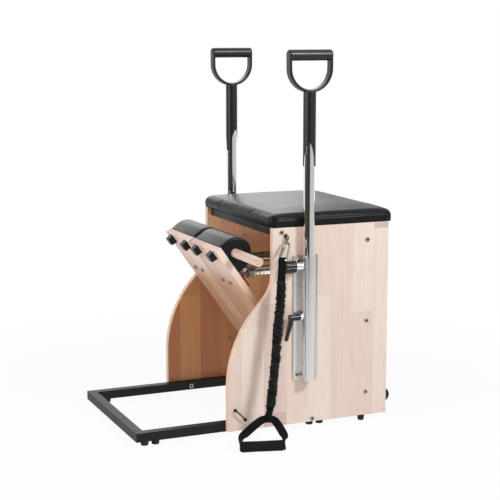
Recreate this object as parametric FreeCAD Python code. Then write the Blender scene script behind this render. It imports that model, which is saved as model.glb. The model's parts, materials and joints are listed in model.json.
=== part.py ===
"""Pilates chair: wooden box seat, two sprung pedals, sliding side poles and a floor frame.

Millimetres. X runs across the chair, the pedals are on the -Y side and +Z is up.
The origin is on the floor, midway between the side panels and midway along the depth.
Pieces of the right side (+X) are modelled, and the left side is their mirror image.
"""

import FreeCAD
import Part
import math
import os

Vec = FreeCAD.Vector
X_AXIS = Vec(1, 0, 0)
Y_AXIS = Vec(0, 1, 0)
Z_AXIS = Vec(0, 0, 1)

# Clearances
RUNNING_GAP = 0.1
FREE_GAP = 0.3
BOLT_GAP = 0.2
CUT_PAST = 1.0

# Side panels
WIDTH = 508.0
PANEL_T = 19.0
PANEL_H = 560.0
PANEL_LIFT = 16.0
REAR_Y = 365.0
TOP_DEPTH = 361.0
TOE_DEPTH = 494.5
SHOULDER_DROP = 131.0
SHOULDER_R = 90.0
SWEEP_H = 308.0
SLOPE_RUN = 49.0
EDGE_R = 2.0

# Back panel and seat
BACK_INSET = 68.0
BACK_T = 19.0
BACK_RISE = 30.0
BACK_BOLT_DROPS = (48.0, 282.0, 491.0)
RAIL_SIZE = 25.0
RAIL_WALL = 2.0
RAIL_SETBACK = 13.0
RAIL_PLUG = 30.0
SEAT_OVERHANG_SIDE = 4.0
SEAT_OVERHANG_FRONT = 9.0
SEAT_OVERHANG_REAR = 18.0
SEAT_CORNER_R = 24.0
SEAT_H = 40.0
SEAT_CROWN = 9.0
SEAT_CROWN_INSET = 90.0
SEAT_HEM = 5.0
SEAT_HEM_H = 5.0
SEAT_DRAW_IN = 1.3
SEAT_BOARD_T = 12.0
SEAT_BOARD_INSET = 9.0

# Panel bolts
BOLT_R = 4.0
BOLT_HEAD_R = 7.5
BOLT_HEAD_T = 2.6
HEAD_ROUNDING = 0.6
BOLT_GRIP = 35.0
BOLT_TIP = 1.0
NUT_FLATS = 13.0
NUT_T = 5.0

# Floor frame
FRAME_TUBE = 25.0
FRAME_WALL = 2.0
FRAME_LIFT = 12.5
FRAME_REACH = 754.0
FRAME_END_SETBACK = 133.0
FRAME_BOLT_FROM_TOE = 65.5
FRAME_BOLT_SETBACK = 238.0
END_CAP_T = 3.0
END_CAP_PLUG = 15.0
END_CAP_EDGE_R = 1.5
FOOT_R = 12.0
FOOT_TAPER = 2.0
FOOT_EDGE_R = 1.5
FRONT_FOOT_INSETS = (27.0, 58.0)
REAR_FOOT_INSETS = (99.0, 67.0)
PANEL_FOOT_R = 10.5
PANEL_FOOT_SETBACK = 77.0

# Pedal axle
AXLE_R = 6.0
AXLE_SETBACK = 150.0
SPACER_R = 9.0

# Pedals
PEDAL_TILT = 54.59
PEDAL_LENGTH = 605.5
PEDAL_GAP = 3.0
PEDAL_OUTER_X = 203.0
BOARD_T = 19.0
BOARD_EDGE_R = 2.0
SHOE_WALL = 3.0
SHOE_LAP = 48.0
PAD_LENGTH = 96.0
PAD_RISE = 26.0
PAD_START = -1.0
PAD_SIDE_INSET = 6.0
PAD_EDGE_R = 5.0
BUMPER_SIZE = 25.0
BUMPER_H = 18.0
BUMPER_TAPER = 1.5
BUMPER_FROM_TOP = 17.5
BUMPER_XS = (45.0, 162.0)
DOWEL_R = 12.5
DOWEL_FROM_TOP = 42.0
DOWEL_STICK_OUT = 157.0
DOWEL_EDGE_R = 2.0

# Spring eye bolts, clips and springs
SPRING_XS = (82.0, 136.0)
EYE_FROM_TOP = 124.0
EYE_RISE = 19.0
EYE_R = 9.5
EYE_WIRE_R = 2.5
EYE_SHANK_R = 3.5
EYE_NUT_FLATS = 12.0
EYE_NUT_T = 5.5
EYE_COLLAR_R = 7.0
EYE_COLLAR_T = 2.0
CLIP_LENGTH = 40.0
CLIP_WIDTH = 12.0
CLIP_WIRE_R = 2.0
HOOK_DROP = 144.0
HOOK_PLATE_T = 4.0
HOOK_PLATE_H = 30.0
HOOK_PLATE_MARGIN = 24.0
HOOK_PLATE_CORNER_R = 5.0
HOOK_SCREW_INSET = 12.0
HOOK_NECK = 5.0
HOOK_SCREW_R = 3.0
HOOK_SCREW_HEAD_R = 6.0
HOOK_SCREW_HEAD_T = 2.4
HOOK_SCREW_LENGTH = 14.0
COIL_R = 9.5
COIL_WIRE_R = 1.5
COIL_TURNS = 24
COIL_NECK = 5.0
COIL_LEAD = 28.0
SLEEVE_LENGTH = 20.0
SLEEVE_WALL = 2.0

# Poles and their sockets
POLE_R = 16.0
POLE_WALL = 1.5
POLE_FROM_FRONT = 98.5
POLE_STAND_OFF = 22.0
POLE_BOTTOM = 300.0
SOCKET_BOTTOM = 145.0
SOCKET_TOP = 497.0
SOCKET_R = 19.0
FLANGE_HALF = 37.5
FLANGE_T = 4.0
FLANGE_LIP = 2.5
FLANGE_LIP_W = 4.0
FLANGE_BOLT_HALF = 25.5
FLANGE_BOLT_INSET = 14.0
FLANGE_BOLT_R = 3.0
FLANGE_BOLT_HEAD_R = 6.0
FLANGE_NUT_FLATS = 10.0

# Pole grips
GRIP_TOP = 1059.0
GRIP_BAR_R = 15.0
GRIP_BAR_EDGE_R = 5.0
GRIP_HALF = 65.0
GRIP_ARM_T = 8.0
GRIP_DEPTH = 26.0
GRIP_ARM_DROP = 35.0
GRIP_EDGE_R = 3.4
GRIP_SLEEVE_R = 17.5
GRIP_SLEEVE_EDGE_R = 3.0
GRIP_SLEEVE_BOTTOM = 745.0
GRIP_NOTCH_H = 65.0
GRIP_NOTCH_SIDE = 1.5
GRIP_NOTCH_TURN = 30.0
GRIP_FLOOR = 8.0

# Clamps on the sockets
CLAMP_SCREW_R = 4.0
CLAMP_SCREW_HOLD = 20.0
BOSS_EDGE_R = 1.0
KNOB_Z = 470.0
KNOB_R = 18.0
KNOB_LENGTH = 31.0
KNOB_FLUTES = 10
KNOB_FLUTE_R = 4.0
KNOB_FLUTE_DEPTH = 2.4
KNOB_EDGE_R = 3.0
KNOB_BOSS_R = 11.0
KNOB_BOSS_LENGTH = 22.0
LEVER_Z = 327.0
LEVER_HUB_R = 9.0
LEVER_HUB_LENGTH = 33.0
LEVER_HUB_EDGE_R = 2.0
LEVER_BOSS_R = 9.0
LEVER_BOSS_LENGTH = 7.0
LEVER_ARM = 60.0
LEVER_ROOT_R = 7.5
LEVER_ROOT_INSET = 8.5
LEVER_TIP_R = 5.5
LEVER_LEAN = 16.0

# Transport wheels
WHEEL_R = 20.0
WHEEL_W = 18.0
WHEEL_EDGE_R = 3.0
WHEEL_Z = 61.0
WHEEL_OVERHANG = 4.0
WHEEL_GAP = 1.0
WHEEL_AXLE_R = 4.0
WHEEL_AXLE_HEAD_R = 6.0
WHEEL_AXLE_HEAD_T = 2.0
BRACKET_T = 3.0
BRACKET_HALF_H = 21.0
BRACKET_NOSE_R = 9.0

# Strap hardware and straps
STRAP_EYE_AHEAD = 59.5
STRAP_EYE_DROP = 23.0
STRAP_EYE_OUT = 9.0
STRAP_EYE_R = 6.0
STRAP_EYE_WIRE_R = 2.0
STRAP_EYE_NECK_R = 3.0
STRAP_EYE_BASE_R = 7.0
STRAP_EYE_BASE_T = 2.5
LINK_LENGTH = 16.0
LINK_WIDTH = 12.5
LINK_WIRE_R = 1.5
LINK_PLAY = 0.9
SNAP_WIDTH = 19.0
SNAP_WIRE_R = 2.2
WEBBING_W = 20.0
WEBBING_T = 5.0
CORD_SLEEVE_R = 12.0
NECK_W = 18.0
LEG_W = 24.0
LEG_T = 2.5
HANDLE_R = 15.0
HANDLE_LENGTH = 116.0
HANDLE_EDGE_R = 2.0
HANDLE_APEX_HALF = 16.0
HANDLE_FOLD_Z = 36.0
ANCHOR_WIRE_R = 2.0
ANCHOR_OUT = 12.0
ANCHOR_BASE_R = 5.0
ANCHOR_BASE_T = 2.5
ANCHOR_ENDS = ((20.5, 75.6), (50.5, 46.0))
ANCHOR_BEND_R = 5.0

# Routes of the two straps from the snap hook to the handle: distance out from the panel,
# distance behind the strap eye, and height
RIGHT_SNAP_END = (39.0, -28.0, 497.0)
RIGHT_ROUTE = (
    (46.0, -33.5, 441.0),
    (50.0, -38.2, 386.5),
    (55.0, -49.2, 305.0),
    (62.0, -58.1, 223.6),
    (68.0, -68.1, 156.0),
    (76.0, -80.5, 89.0),
)
RIGHT_APEX = (84.0, -91.0, 71.0)
RIGHT_HANDLE = (148.0, -134.0)
RIGHT_HANDLE_YAW = 15.0
LEFT_SNAP_END = (38.0, 3.0, 497.0)
LEFT_ROUTE = (
    (52.0, -9.0, 441.0),
    (57.0, -30.0, 386.5),
    (59.0, -40.0, 305.0),
    (62.0, -42.0, 223.6),
    (68.0, -37.0, 156.0),
    (76.0, -28.0, 89.0),
)
LEFT_APEX = (84.0, -21.0, 71.0)
LEFT_HANDLE = (148.0, 17.0)
LEFT_HANDLE_YAW = -8.0

# Places that follow from the sizes above
HALF = WIDTH / 2
INNER = HALF - PANEL_T
TOP_Z = PANEL_LIFT + PANEL_H
TOP_FRONT = REAR_Y - TOP_DEPTH
TOE_Y = REAR_Y - TOE_DEPTH
BACK_Y = REAR_Y - BACK_INSET
BACK_FRONT = BACK_Y - BACK_T / 2
BACK_REAR = BACK_Y + BACK_T / 2
BACK_BOTTOM = PANEL_LIFT + BACK_RISE
RAIL_Y = TOP_FRONT + RAIL_SETBACK + RAIL_SIZE / 2
RAIL_Z = TOP_Z - RAIL_SIZE / 2
FRAME_FRONT = REAR_Y - FRAME_REACH
FRAME_END = REAR_Y - FRAME_END_SETBACK
FRAME_TOP = FRAME_LIFT + FRAME_TUBE
FRAME_Z = FRAME_LIFT + FRAME_TUBE / 2
BAR_INNER = INNER - FRAME_TUBE
BAR_X = INNER - FRAME_TUBE / 2
PIVOT = Vec(0, REAR_Y - AXLE_SETBACK, FRAME_Z)
TILT = math.radians(PEDAL_TILT)
ALONG = Vec(0, math.cos(TILT), -math.sin(TILT))
OUTWARD = Vec(0, math.sin(TILT), math.cos(TILT))
PEDAL_TOP = PIVOT - ALONG * PEDAL_LENGTH - OUTWARD * (BOARD_T / 2)
SHOE_R = BOARD_T / 2 + SHOE_WALL
BOARD_END = PEDAL_LENGTH - SHOE_R - FREE_GAP
PAD_MID = PAD_START + PAD_LENGTH / 2
PAD_AXIS_H = BOARD_T + PAD_RISE
EYE_H = BOARD_T + EYE_RISE
EYE_CENTRE = PEDAL_TOP + ALONG * EYE_FROM_TOP + OUTWARD * EYE_H
HOOK_Y = BACK_FRONT - HOOK_PLATE_T - HOOK_NECK - EYE_R
HOOK_CENTRE = Vec(0, HOOK_Y, TOP_Z - HOOK_DROP)
SPRING_SPAN = HOOK_CENTRE - EYE_CENTRE
COIL_START = EYE_R - EYE_WIRE_R - COIL_WIRE_R - FREE_GAP + COIL_R + COIL_NECK
POLE_X = HALF + POLE_STAND_OFF
POLE_Y = TOP_FRONT + POLE_FROM_FRONT
GRIP_BAR_Z = GRIP_TOP - GRIP_BAR_R
GRIP_BEND_Z = GRIP_BAR_Z - GRIP_ARM_DROP
GRIP_SLEEVE_TOP = GRIP_BEND_Z - GRIP_HALF + GRIP_ARM_T / 2
POLE_TOP = GRIP_SLEEVE_TOP - GRIP_FLOOR
SOCKET_FRONT = POLE_Y - SOCKET_R
WHEEL_Y = REAR_Y + WHEEL_OVERHANG
WHEEL_X = INNER - BRACKET_T - WHEEL_GAP - WHEEL_W / 2
FORK_INNER = INNER - 2 * (BRACKET_T + WHEEL_GAP) - WHEEL_W
STRAP_EYE_Y = POLE_Y - STRAP_EYE_AHEAD
STRAP_EYE_Z = TOP_Z - STRAP_EYE_DROP
STRAP_EYE_X = HALF + STRAP_EYE_OUT


def block(x, y, z):
    """A box between the low and high values given for X, Y and Z."""
    return Part.makeBox(x[1] - x[0], y[1] - y[0], z[1] - z[0], Vec(x[0], y[0], z[0]))


def rod(start, end, radius):
    """A round bar between two points."""
    axis = end - start
    return Part.makeCylinder(radius, axis.Length, start, axis)


def hex_bar(start, end, flats):
    """A hexagonal bar between two points."""
    axis = end - start
    side = axis.cross(Z_AXIS if abs(axis.z) < 0.9 * axis.Length else X_AXIS).normalize()
    up = axis.cross(side).normalize()
    reach = flats / math.sqrt(3)
    corners = []
    for step in range(7):
        angle = math.radians(60 * step)
        corners.append(start + side * (reach * math.cos(angle)) + up * (reach * math.sin(angle)))
    return Part.Face(Part.makePolygon(corners)).extrude(axis)


def arc(start, middle, end):
    """The edge of an arc through three points."""
    return Part.Arc(start, middle, end).toShape()


def line(start, end):
    """The edge of a straight line."""
    return Part.LineSegment(start, end).toShape()


def fillet(shape, radius, wanted):
    """Round the edges that the test picks."""
    return shape.makeFillet(radius, [edge for edge in shape.Edges if wanted(edge)])


def sweep(path, radius):
    """A round tube along a path."""
    first = path.OrderedEdges[0]
    start = first.valueAt(first.FirstParameter)
    tangent = first.tangentAt(first.FirstParameter)
    if first.Orientation == "Reversed":
        start = first.valueAt(first.LastParameter)
        tangent = first.tangentAt(first.LastParameter) * -1
    section = Part.Wire(Part.makeCircle(radius, start, tangent))
    return path.makePipeShell([section], True, False)


def placed(shape, origin, along, across):
    """Carry a shape from its own X along, Y across axes to a place in the chair."""
    turn = FreeCAD.Rotation(along, across, along.cross(across), "XYZ")
    moved = shape.copy()
    moved.Placement = FreeCAD.Placement(origin, turn).multiply(moved.Placement)
    return moved


def oval_ring(start, along, across, length, width, wire_r):
    """A long wire ring whose first end has its wire's centre at start."""
    bend = width / 2
    far = length - bend
    path = Part.Wire(
        [
            line(Vec(bend, bend, 0), Vec(far, bend, 0)),
            arc(Vec(far, bend, 0), Vec(length, 0, 0), Vec(far, -bend, 0)),
            line(Vec(far, -bend, 0), Vec(bend, -bend, 0)),
            arc(Vec(bend, -bend, 0), Vec(0, 0, 0), Vec(bend, bend, 0)),
        ]
    )
    return placed(sweep(path, wire_r), start, along, across)


def strip(start, end, across, width, thickness):
    """A flat strap between two points, its width along across."""
    run = end - start
    shape = Part.makeBox(run.Length, width, thickness, Vec(0, -width / 2, -thickness / 2))
    return placed(shape, start, run, across)


def tangent_path(points, share=0.45):
    """Straight runs joined by the largest tangent arcs that the runs leave room for."""
    edges = []
    radii = []
    here = points[0]
    for before, corner, after in zip(points, points[1:], points[2:]):
        back = before - corner
        ahead = after - corner
        reach = share * min(back.Length, ahead.Length)
        start = corner + back.normalize() * reach
        end = corner + ahead.normalize() * reach
        half_turn = (math.pi - back.getAngle(ahead)) / 2
        radius = reach / math.tan(half_turn)
        inward = (back + ahead).normalize()
        middle = corner + inward * (radius / math.cos(half_turn) - radius)
        edges.append(line(here, start))
        edges.append(arc(start, middle, end))
        radii.append(radius)
        here = end
    edges.append(line(here, points[-1]))
    return Part.Wire(edges), radii


def mirrored(shape):
    """The same piece on the other side of the chair."""
    return shape.mirror(Vec(), X_AXIS)


def both_sides(shapes):
    """A group of the given pieces and of their mirror images."""
    return Part.makeCompound([*shapes, *(mirrored(shape) for shape in shapes)])


def pan_head(seat, outward, radius, height):
    """A low screw head with a rounded rim, sitting at seat."""
    rim = seat + outward * height
    head = rod(seat, rim, radius)
    return fillet(head, HEAD_ROUNDING * height, lambda edge: abs((edge.CenterOfMass - rim).dot(outward)) < 1e-6)


# Box and seat


def back_bolt_places():
    """Y and Z of the bolts from the side panel into the back panel."""
    return [(BACK_Y, TOP_Z - drop) for drop in BACK_BOLT_DROPS]


def frame_bolt_places():
    """Y and Z of the bolts from the side panel into the floor frame."""
    return [(y, FRAME_Z) for y in (TOE_Y + FRAME_BOLT_FROM_TOE, REAR_Y - FRAME_BOLT_SETBACK)]


def flange_bolt_places():
    """Y and Z of the bolts that hold the pole socket."""
    heights = (SOCKET_BOTTOM + FLANGE_BOLT_INSET, SOCKET_TOP - FLANGE_BOLT_INSET)
    sides = (POLE_Y - FLANGE_BOLT_HALF, POLE_Y + FLANGE_BOLT_HALF)
    return [(y, z) for z in heights for y in sides]


def side_panel():
    """The right panel, its front edge an S from a narrow top to a wide foot."""
    turn = 2 * math.atan((TOP_FRONT - TOE_Y) / (SWEEP_H + SLOPE_RUN))
    shoulder_z = TOP_Z - SHOULDER_DROP

    def shoulder(angle):
        y = TOP_FRONT - SHOULDER_R * (1 - math.cos(angle))
        return Vec(INNER, y, shoulder_z - SHOULDER_R * math.sin(angle))

    slope_start = shoulder(turn)
    slope_end = slope_start - Vec(0, math.sin(turn), math.cos(turn)) * SLOPE_RUN
    toe_r = (SWEEP_H - SLOPE_RUN * math.cos(turn)) / math.sin(turn) - SHOULDER_R
    toe_z = slope_end.z - toe_r * math.sin(turn)

    def toe(angle):
        y = TOE_Y + toe_r * (1 - math.cos(angle))
        return Vec(INNER, y, toe_z + toe_r * math.sin(angle))

    rear_foot = Vec(INNER, REAR_Y, PANEL_LIFT)
    rear_top = Vec(INNER, REAR_Y, TOP_Z)
    front_top = Vec(INNER, TOP_FRONT, TOP_Z)
    toe_foot = Vec(INNER, TOE_Y, PANEL_LIFT)
    outline = Part.Wire(
        [
            line(rear_foot, rear_top),
            line(rear_top, front_top),
            line(front_top, shoulder(0)),
            arc(shoulder(0), shoulder(turn / 2), slope_start),
            line(slope_start, slope_end),
            arc(slope_end, toe(turn / 2), toe(0)),
            line(toe(0), toe_foot),
            line(toe_foot, rear_foot),
        ]
    )
    panel = Part.Face(outline).extrude(X_AXIS * PANEL_T)
    panel = fillet(panel, EDGE_R, lambda edge: edge.BoundBox.XLength < 1e-6)
    holes = [(y, z, BOLT_R) for y, z in [*back_bolt_places(), *frame_bolt_places(), (RAIL_Y, RAIL_Z)]]
    holes += [(y, z, FLANGE_BOLT_R) for y, z in flange_bolt_places()]
    for y, z, radius in holes:
        panel = panel.cut(rod(Vec(INNER - CUT_PAST, y, z), Vec(HALF + CUT_PAST, y, z), radius + BOLT_GAP))
    return panel


def back_panel():
    """The panel between the side panels, bored at its ends for the bolts."""
    panel = block((-INNER, INNER), (BACK_FRONT, BACK_REAR), (BACK_BOTTOM, TOP_Z))
    for y, z in back_bolt_places():
        start, end = Vec(INNER - BOLT_GRIP - CUT_PAST, y, z), Vec(INNER + CUT_PAST, y, z)
        bore = rod(start, end, BOLT_R + BOLT_GAP)
        panel = panel.cut(bore).cut(mirrored(bore))
    for x in hook_screw_xs():
        start = Vec(x, BACK_FRONT - CUT_PAST, HOOK_CENTRE.z)
        end = Vec(x, BACK_FRONT + HOOK_SCREW_LENGTH + CUT_PAST, HOOK_CENTRE.z)
        panel = panel.cut(rod(start, end, HOOK_SCREW_R + BOLT_GAP))
    return panel


def seat_rail():
    """Square tube under the seat's front edge, plugged at its ends for the bolts."""
    low, high = RAIL_Y - RAIL_SIZE / 2, RAIL_Y + RAIL_SIZE / 2
    rail = block((-INNER, INNER), (low, high), (TOP_Z - RAIL_SIZE, TOP_Z))
    hollow = INNER - RAIL_PLUG
    rail = rail.cut(
        block(
            (-hollow, hollow),
            (low + RAIL_WALL, high - RAIL_WALL),
            (TOP_Z - RAIL_SIZE + RAIL_WALL, TOP_Z - RAIL_WALL),
        )
    )
    start, end = Vec(hollow - CUT_PAST, RAIL_Y, RAIL_Z), Vec(INNER + CUT_PAST, RAIL_Y, RAIL_Z)
    bore = rod(start, end, BOLT_R + BOLT_GAP)
    return rail.cut(bore).cut(mirrored(bore))


def panel_bolts():
    """Bolts through the side panels into the back panel, the seat rail and the floor frame."""
    bolts = []
    for y, z in back_bolt_places():
        bolts.append(side_bolt(y, z, HALF, INNER - BOLT_GRIP, BOLT_R, BOLT_HEAD_R))
    bolts.append(side_bolt(RAIL_Y, RAIL_Z, HALF, INNER - RAIL_PLUG, BOLT_R, BOLT_HEAD_R))
    for y, z in frame_bolt_places():
        bolts.append(side_bolt(y, z, HALF, BAR_INNER - NUT_T - BOLT_TIP, BOLT_R, BOLT_HEAD_R))
    return both_sides(bolts)


def side_bolt(y, z, seat_x, tip_x, radius, head_r):
    """One bolt along X, its head on the outside."""
    shank = rod(Vec(tip_x, y, z), Vec(seat_x, y, z), radius)
    return shank.fuse(pan_head(Vec(seat_x, y, z), X_AXIS, head_r, BOLT_HEAD_T))


def rounded_rectangle(x_half, y, radius, z):
    """A level outline with round corners, symmetric about the chair's middle."""
    diagonal = radius * (1 - math.sqrt(0.5))
    low, high = y
    edges = []
    corners = [(x_half, high, -1, -1), (-x_half, high, 1, -1), (-x_half, low, 1, 1), (x_half, low, -1, 1)]
    ends = []
    for index, (cx, cy, sx, sy) in enumerate(corners):
        on_side = Vec(cx, cy + sy * radius, z)
        on_front = Vec(cx + sx * radius, cy, z)
        middle = Vec(cx + sx * diagonal, cy + sy * diagonal, z)
        first, last = (on_side, on_front) if index % 2 == 0 else (on_front, on_side)
        ends.append((first, middle, last))
    for index, (first, middle, last) in enumerate(ends):
        edges.append(arc(first, middle, last))
        edges.append(line(last, ends[(index + 1) % 4][0]))
    return Part.Wire(edges)


def seat_plan():
    """Half width and Y limits of the seat."""
    return HALF + SEAT_OVERHANG_SIDE, TOP_FRONT - SEAT_OVERHANG_FRONT, REAR_Y + SEAT_OVERHANG_REAR


def seat_board():
    """Plywood inside the underside of the cushion."""
    x_half, front, rear = seat_plan()
    inset = SEAT_BOARD_INSET
    return block(
        (inset - x_half, x_half - inset),
        (front + inset, rear - inset),
        (TOP_Z, TOP_Z + SEAT_BOARD_T),
    )


def seat_cushion():
    """Upholstered seat with drawn-in sides, a soft rim and a low crown."""
    x_half, front, rear = seat_plan()
    rim = SEAT_H - SEAT_CROWN
    sections = (
        (0.0, SEAT_HEM),
        (SEAT_HEM_H, SEAT_DRAW_IN),
        (0.5 * rim, 0.0),
        (rim, SEAT_DRAW_IN),
        (rim + 0.4 * SEAT_CROWN, 0.45 * SEAT_CROWN),
        (rim + 0.68 * SEAT_CROWN, 1.15 * SEAT_CROWN),
        (rim + 0.83 * SEAT_CROWN, 2.5 * SEAT_CROWN),
        (SEAT_H, SEAT_CROWN_INSET),
    )
    outlines = []
    for rise, inset in sections:
        y = (front + inset, rear - inset)
        radius = SEAT_CORNER_R - min(inset, 0.6 * SEAT_CORNER_R)
        outlines.append(rounded_rectangle(x_half - inset, y, radius, TOP_Z + rise))
    return Part.makeLoft(outlines, True, True).cut(seat_board())


# Floor frame


def floor_frame():
    """Square-tube U, bored for the panel bolts and the pedal axle."""

    def u_shape(inset, rear):
        outer = block(
            (inset - INNER, INNER - inset),
            (FRAME_FRONT + inset, rear),
            (FRAME_LIFT + inset, FRAME_TOP - inset),
        )
        opening = block(
            (-BAR_INNER - inset, BAR_INNER + inset),
            (FRAME_FRONT + FRAME_TUBE - inset, rear + CUT_PAST),
            (0, FRAME_TOP + CUT_PAST),
        )
        return outer.cut(opening)

    frame = u_shape(0, FRAME_END).cut(u_shape(FRAME_WALL, FRAME_END + CUT_PAST))
    bores = [(y, z, BOLT_R + BOLT_GAP) for y, z in frame_bolt_places()]
    bores.append((PIVOT.y, PIVOT.z, AXLE_R + RUNNING_GAP))
    for y, z, radius in bores:
        bore = rod(Vec(BAR_INNER - CUT_PAST, y, z), Vec(INNER + CUT_PAST, y, z), radius)
        frame = frame.cut(bore).cut(mirrored(bore))
    return frame


def frame_end_caps():
    """Plastic plugs in the open rear ends of the side bars."""
    half = FRAME_TUBE / 2
    inner = half - FRAME_WALL - RUNNING_GAP
    cap_end = FRAME_END + END_CAP_T
    face = block((BAR_X - half, BAR_X + half), (FRAME_END, cap_end), (FRAME_Z - half, FRAME_Z + half))
    face = fillet(face, END_CAP_EDGE_R, lambda edge: abs(edge.CenterOfMass.y - cap_end) < 1e-6)
    plug_start = max(FRAME_END - END_CAP_PLUG, PIVOT.y + AXLE_R + FREE_GAP)
    plug = block((BAR_X - inner, BAR_X + inner), (plug_start, FRAME_END), (FRAME_Z - inner, FRAME_Z + inner))
    return both_sides([face.fuse(plug)])


def foot(x, y, top, radius):
    """A rubber foot that narrows towards the floor."""
    cone = Part.makeCone(radius - FOOT_TAPER, radius, top, Vec(x, y, 0))
    return fillet(cone, FOOT_EDGE_R, lambda edge: edge.BoundBox.ZMax < 1e-6)


def rubber_feet():
    """Feet in pairs under the side bars and one under the rear of each side panel."""
    places = [FRAME_FRONT + inset for inset in FRONT_FOOT_INSETS]
    places += [FRAME_END - inset for inset in REAR_FOOT_INSETS]
    feet = [foot(BAR_X, y, FRAME_LIFT, FOOT_R) for y in places]
    feet.append(foot(HALF - PANEL_T / 2, REAR_Y - PANEL_FOOT_SETBACK, PANEL_LIFT, PANEL_FOOT_R))
    return both_sides(feet)


def side_nut(y, z, seat_x, flats, bore_r):
    """One nut against a face that looks inwards."""
    nut = hex_bar(Vec(seat_x - NUT_T, y, z), Vec(seat_x, y, z), flats)
    start, end = Vec(seat_x - NUT_T - CUT_PAST, y, z), Vec(seat_x + CUT_PAST, y, z)
    return nut.cut(rod(start, end, bore_r + RUNNING_GAP))


def nuts():
    """Nuts on the inner faces of the side bars and of the side panels."""
    pieces = [side_nut(y, z, BAR_INNER, NUT_FLATS, BOLT_R) for y, z in frame_bolt_places()]
    pieces += [side_nut(y, z, INNER, FLANGE_NUT_FLATS, FLANGE_BOLT_R) for y, z in flange_bolt_places()]
    return both_sides(pieces)


def pedal_axle():
    """Steel rod between the side bars, on which both pedals swing."""
    reach = X_AXIS * INNER
    return rod(PIVOT - reach, PIVOT + reach, AXLE_R)


def axle_spacers():
    """Sleeves beside the pedals and a washer between them."""

    def sleeve(low, high):
        start, end = PIVOT + X_AXIS * low, PIVOT + X_AXIS * high
        past = X_AXIS * CUT_PAST
        return rod(start, end, SPACER_R).cut(rod(start - past, end + past, AXLE_R + RUNNING_GAP))

    side = sleeve(PEDAL_OUTER_X + FREE_GAP, BAR_INNER)
    half_gap = PEDAL_GAP / 2 - FREE_GAP
    return Part.makeCompound([side, mirrored(side), sleeve(-half_gap, half_gap)])


# Pedals, modelled lying flat: X across, Y from the top end down the board, Z out of its upper face


def on_pedal(shape):
    """Lean a flat-modelled pedal piece to its place at rest."""
    leaned = shape.copy()
    leaned.rotate(Vec(), X_AXIS, -PEDAL_TILT)
    leaned.translate(PEDAL_TOP)
    return leaned


def pedal_board():
    """The wooden board, bored for the eye bolts."""
    board = block((PEDAL_GAP / 2, PEDAL_OUTER_X), (0, BOARD_END), (0, BOARD_T))
    board = fillet(board, BOARD_EDGE_R, lambda edge: edge.CenterOfMass.y < BOARD_END - CUT_PAST)
    for x in SPRING_XS:
        low, high = Vec(x, EYE_FROM_TOP, -CUT_PAST), Vec(x, EYE_FROM_TOP, BOARD_T + CUT_PAST)
        board = board.cut(rod(low, high, EYE_SHANK_R + BOLT_GAP))
    return on_pedal(board)


def pedal_pad():
    """Arched foot pad with a bore for the dowel."""
    low_x = PEDAL_GAP / 2 + PAD_SIDE_INSET
    high_x = PEDAL_OUTER_X - PAD_SIDE_INSET
    end = PAD_START + PAD_LENGTH
    radius = PAD_LENGTH / 2
    crown = PAD_AXIS_H + radius
    outline = Part.Wire(
        [
            line(Vec(low_x, PAD_START, BOARD_T), Vec(low_x, PAD_START, PAD_AXIS_H)),
            arc(Vec(low_x, PAD_START, PAD_AXIS_H), Vec(low_x, PAD_MID, crown), Vec(low_x, end, PAD_AXIS_H)),
            line(Vec(low_x, end, PAD_AXIS_H), Vec(low_x, end, BOARD_T)),
            line(Vec(low_x, end, BOARD_T), Vec(low_x, PAD_START, BOARD_T)),
        ]
    )
    pad = Part.Face(outline).extrude(X_AXIS * (high_x - low_x))
    pad = fillet(
        pad,
        PAD_EDGE_R,
        lambda edge: edge.BoundBox.XLength < 1e-6 and edge.BoundBox.ZMax > BOARD_T + CUT_PAST,
    )
    start, end = Vec(0, DOWEL_FROM_TOP, PAD_AXIS_H), Vec(PEDAL_OUTER_X, DOWEL_FROM_TOP, PAD_AXIS_H)
    bore = rod(start, end, DOWEL_R + FREE_GAP)
    return on_pedal(pad.cut(bore))


def pedal_bumpers():
    """Square rubber stops under the board's top end."""
    bumpers = []
    for x in BUMPER_XS:
        outlines = []
        for height, half in ((0, BUMPER_SIZE / 2), (-BUMPER_H, BUMPER_SIZE / 2 - BUMPER_TAPER)):
            low, high = BUMPER_FROM_TOP - half, BUMPER_FROM_TOP + half
            corners = [(x - half, low), (x + half, low), (x + half, high), (x - half, high), (x - half, low)]
            outlines.append(Part.makePolygon([Vec(cx, cy, height) for cx, cy in corners]))
        bumpers.append(on_pedal(Part.makeLoft(outlines, True, True)))
    return Part.makeCompound(bumpers)


def pedal_hinge():
    """Steel shoe that grips the board's lower end and turns on the axle."""
    low_x = PEDAL_GAP / 2
    start = BOARD_END - SHOE_LAP
    mid = BOARD_T / 2
    low, high = mid - SHOE_R, mid + SHOE_R
    outline = Part.Wire(
        [
            line(Vec(low_x, start, low), Vec(low_x, PEDAL_LENGTH, low)),
            arc(
                Vec(low_x, PEDAL_LENGTH, low),
                Vec(low_x, PEDAL_LENGTH + SHOE_R, mid),
                Vec(low_x, PEDAL_LENGTH, high),
            ),
            line(Vec(low_x, PEDAL_LENGTH, high), Vec(low_x, start, high)),
            line(Vec(low_x, start, high), Vec(low_x, start, low)),
        ]
    )
    shoe = Part.Face(outline).extrude(X_AXIS * (PEDAL_OUTER_X - low_x))
    shoe = shoe.cut(block((0, PEDAL_OUTER_X + CUT_PAST), (start - CUT_PAST, BOARD_END), (0, BOARD_T)))
    bore_end = Vec(PEDAL_OUTER_X + CUT_PAST, PEDAL_LENGTH, mid)
    bore = rod(Vec(0, PEDAL_LENGTH, mid), bore_end, AXLE_R + RUNNING_GAP)
    return on_pedal(shoe.cut(bore))


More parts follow.
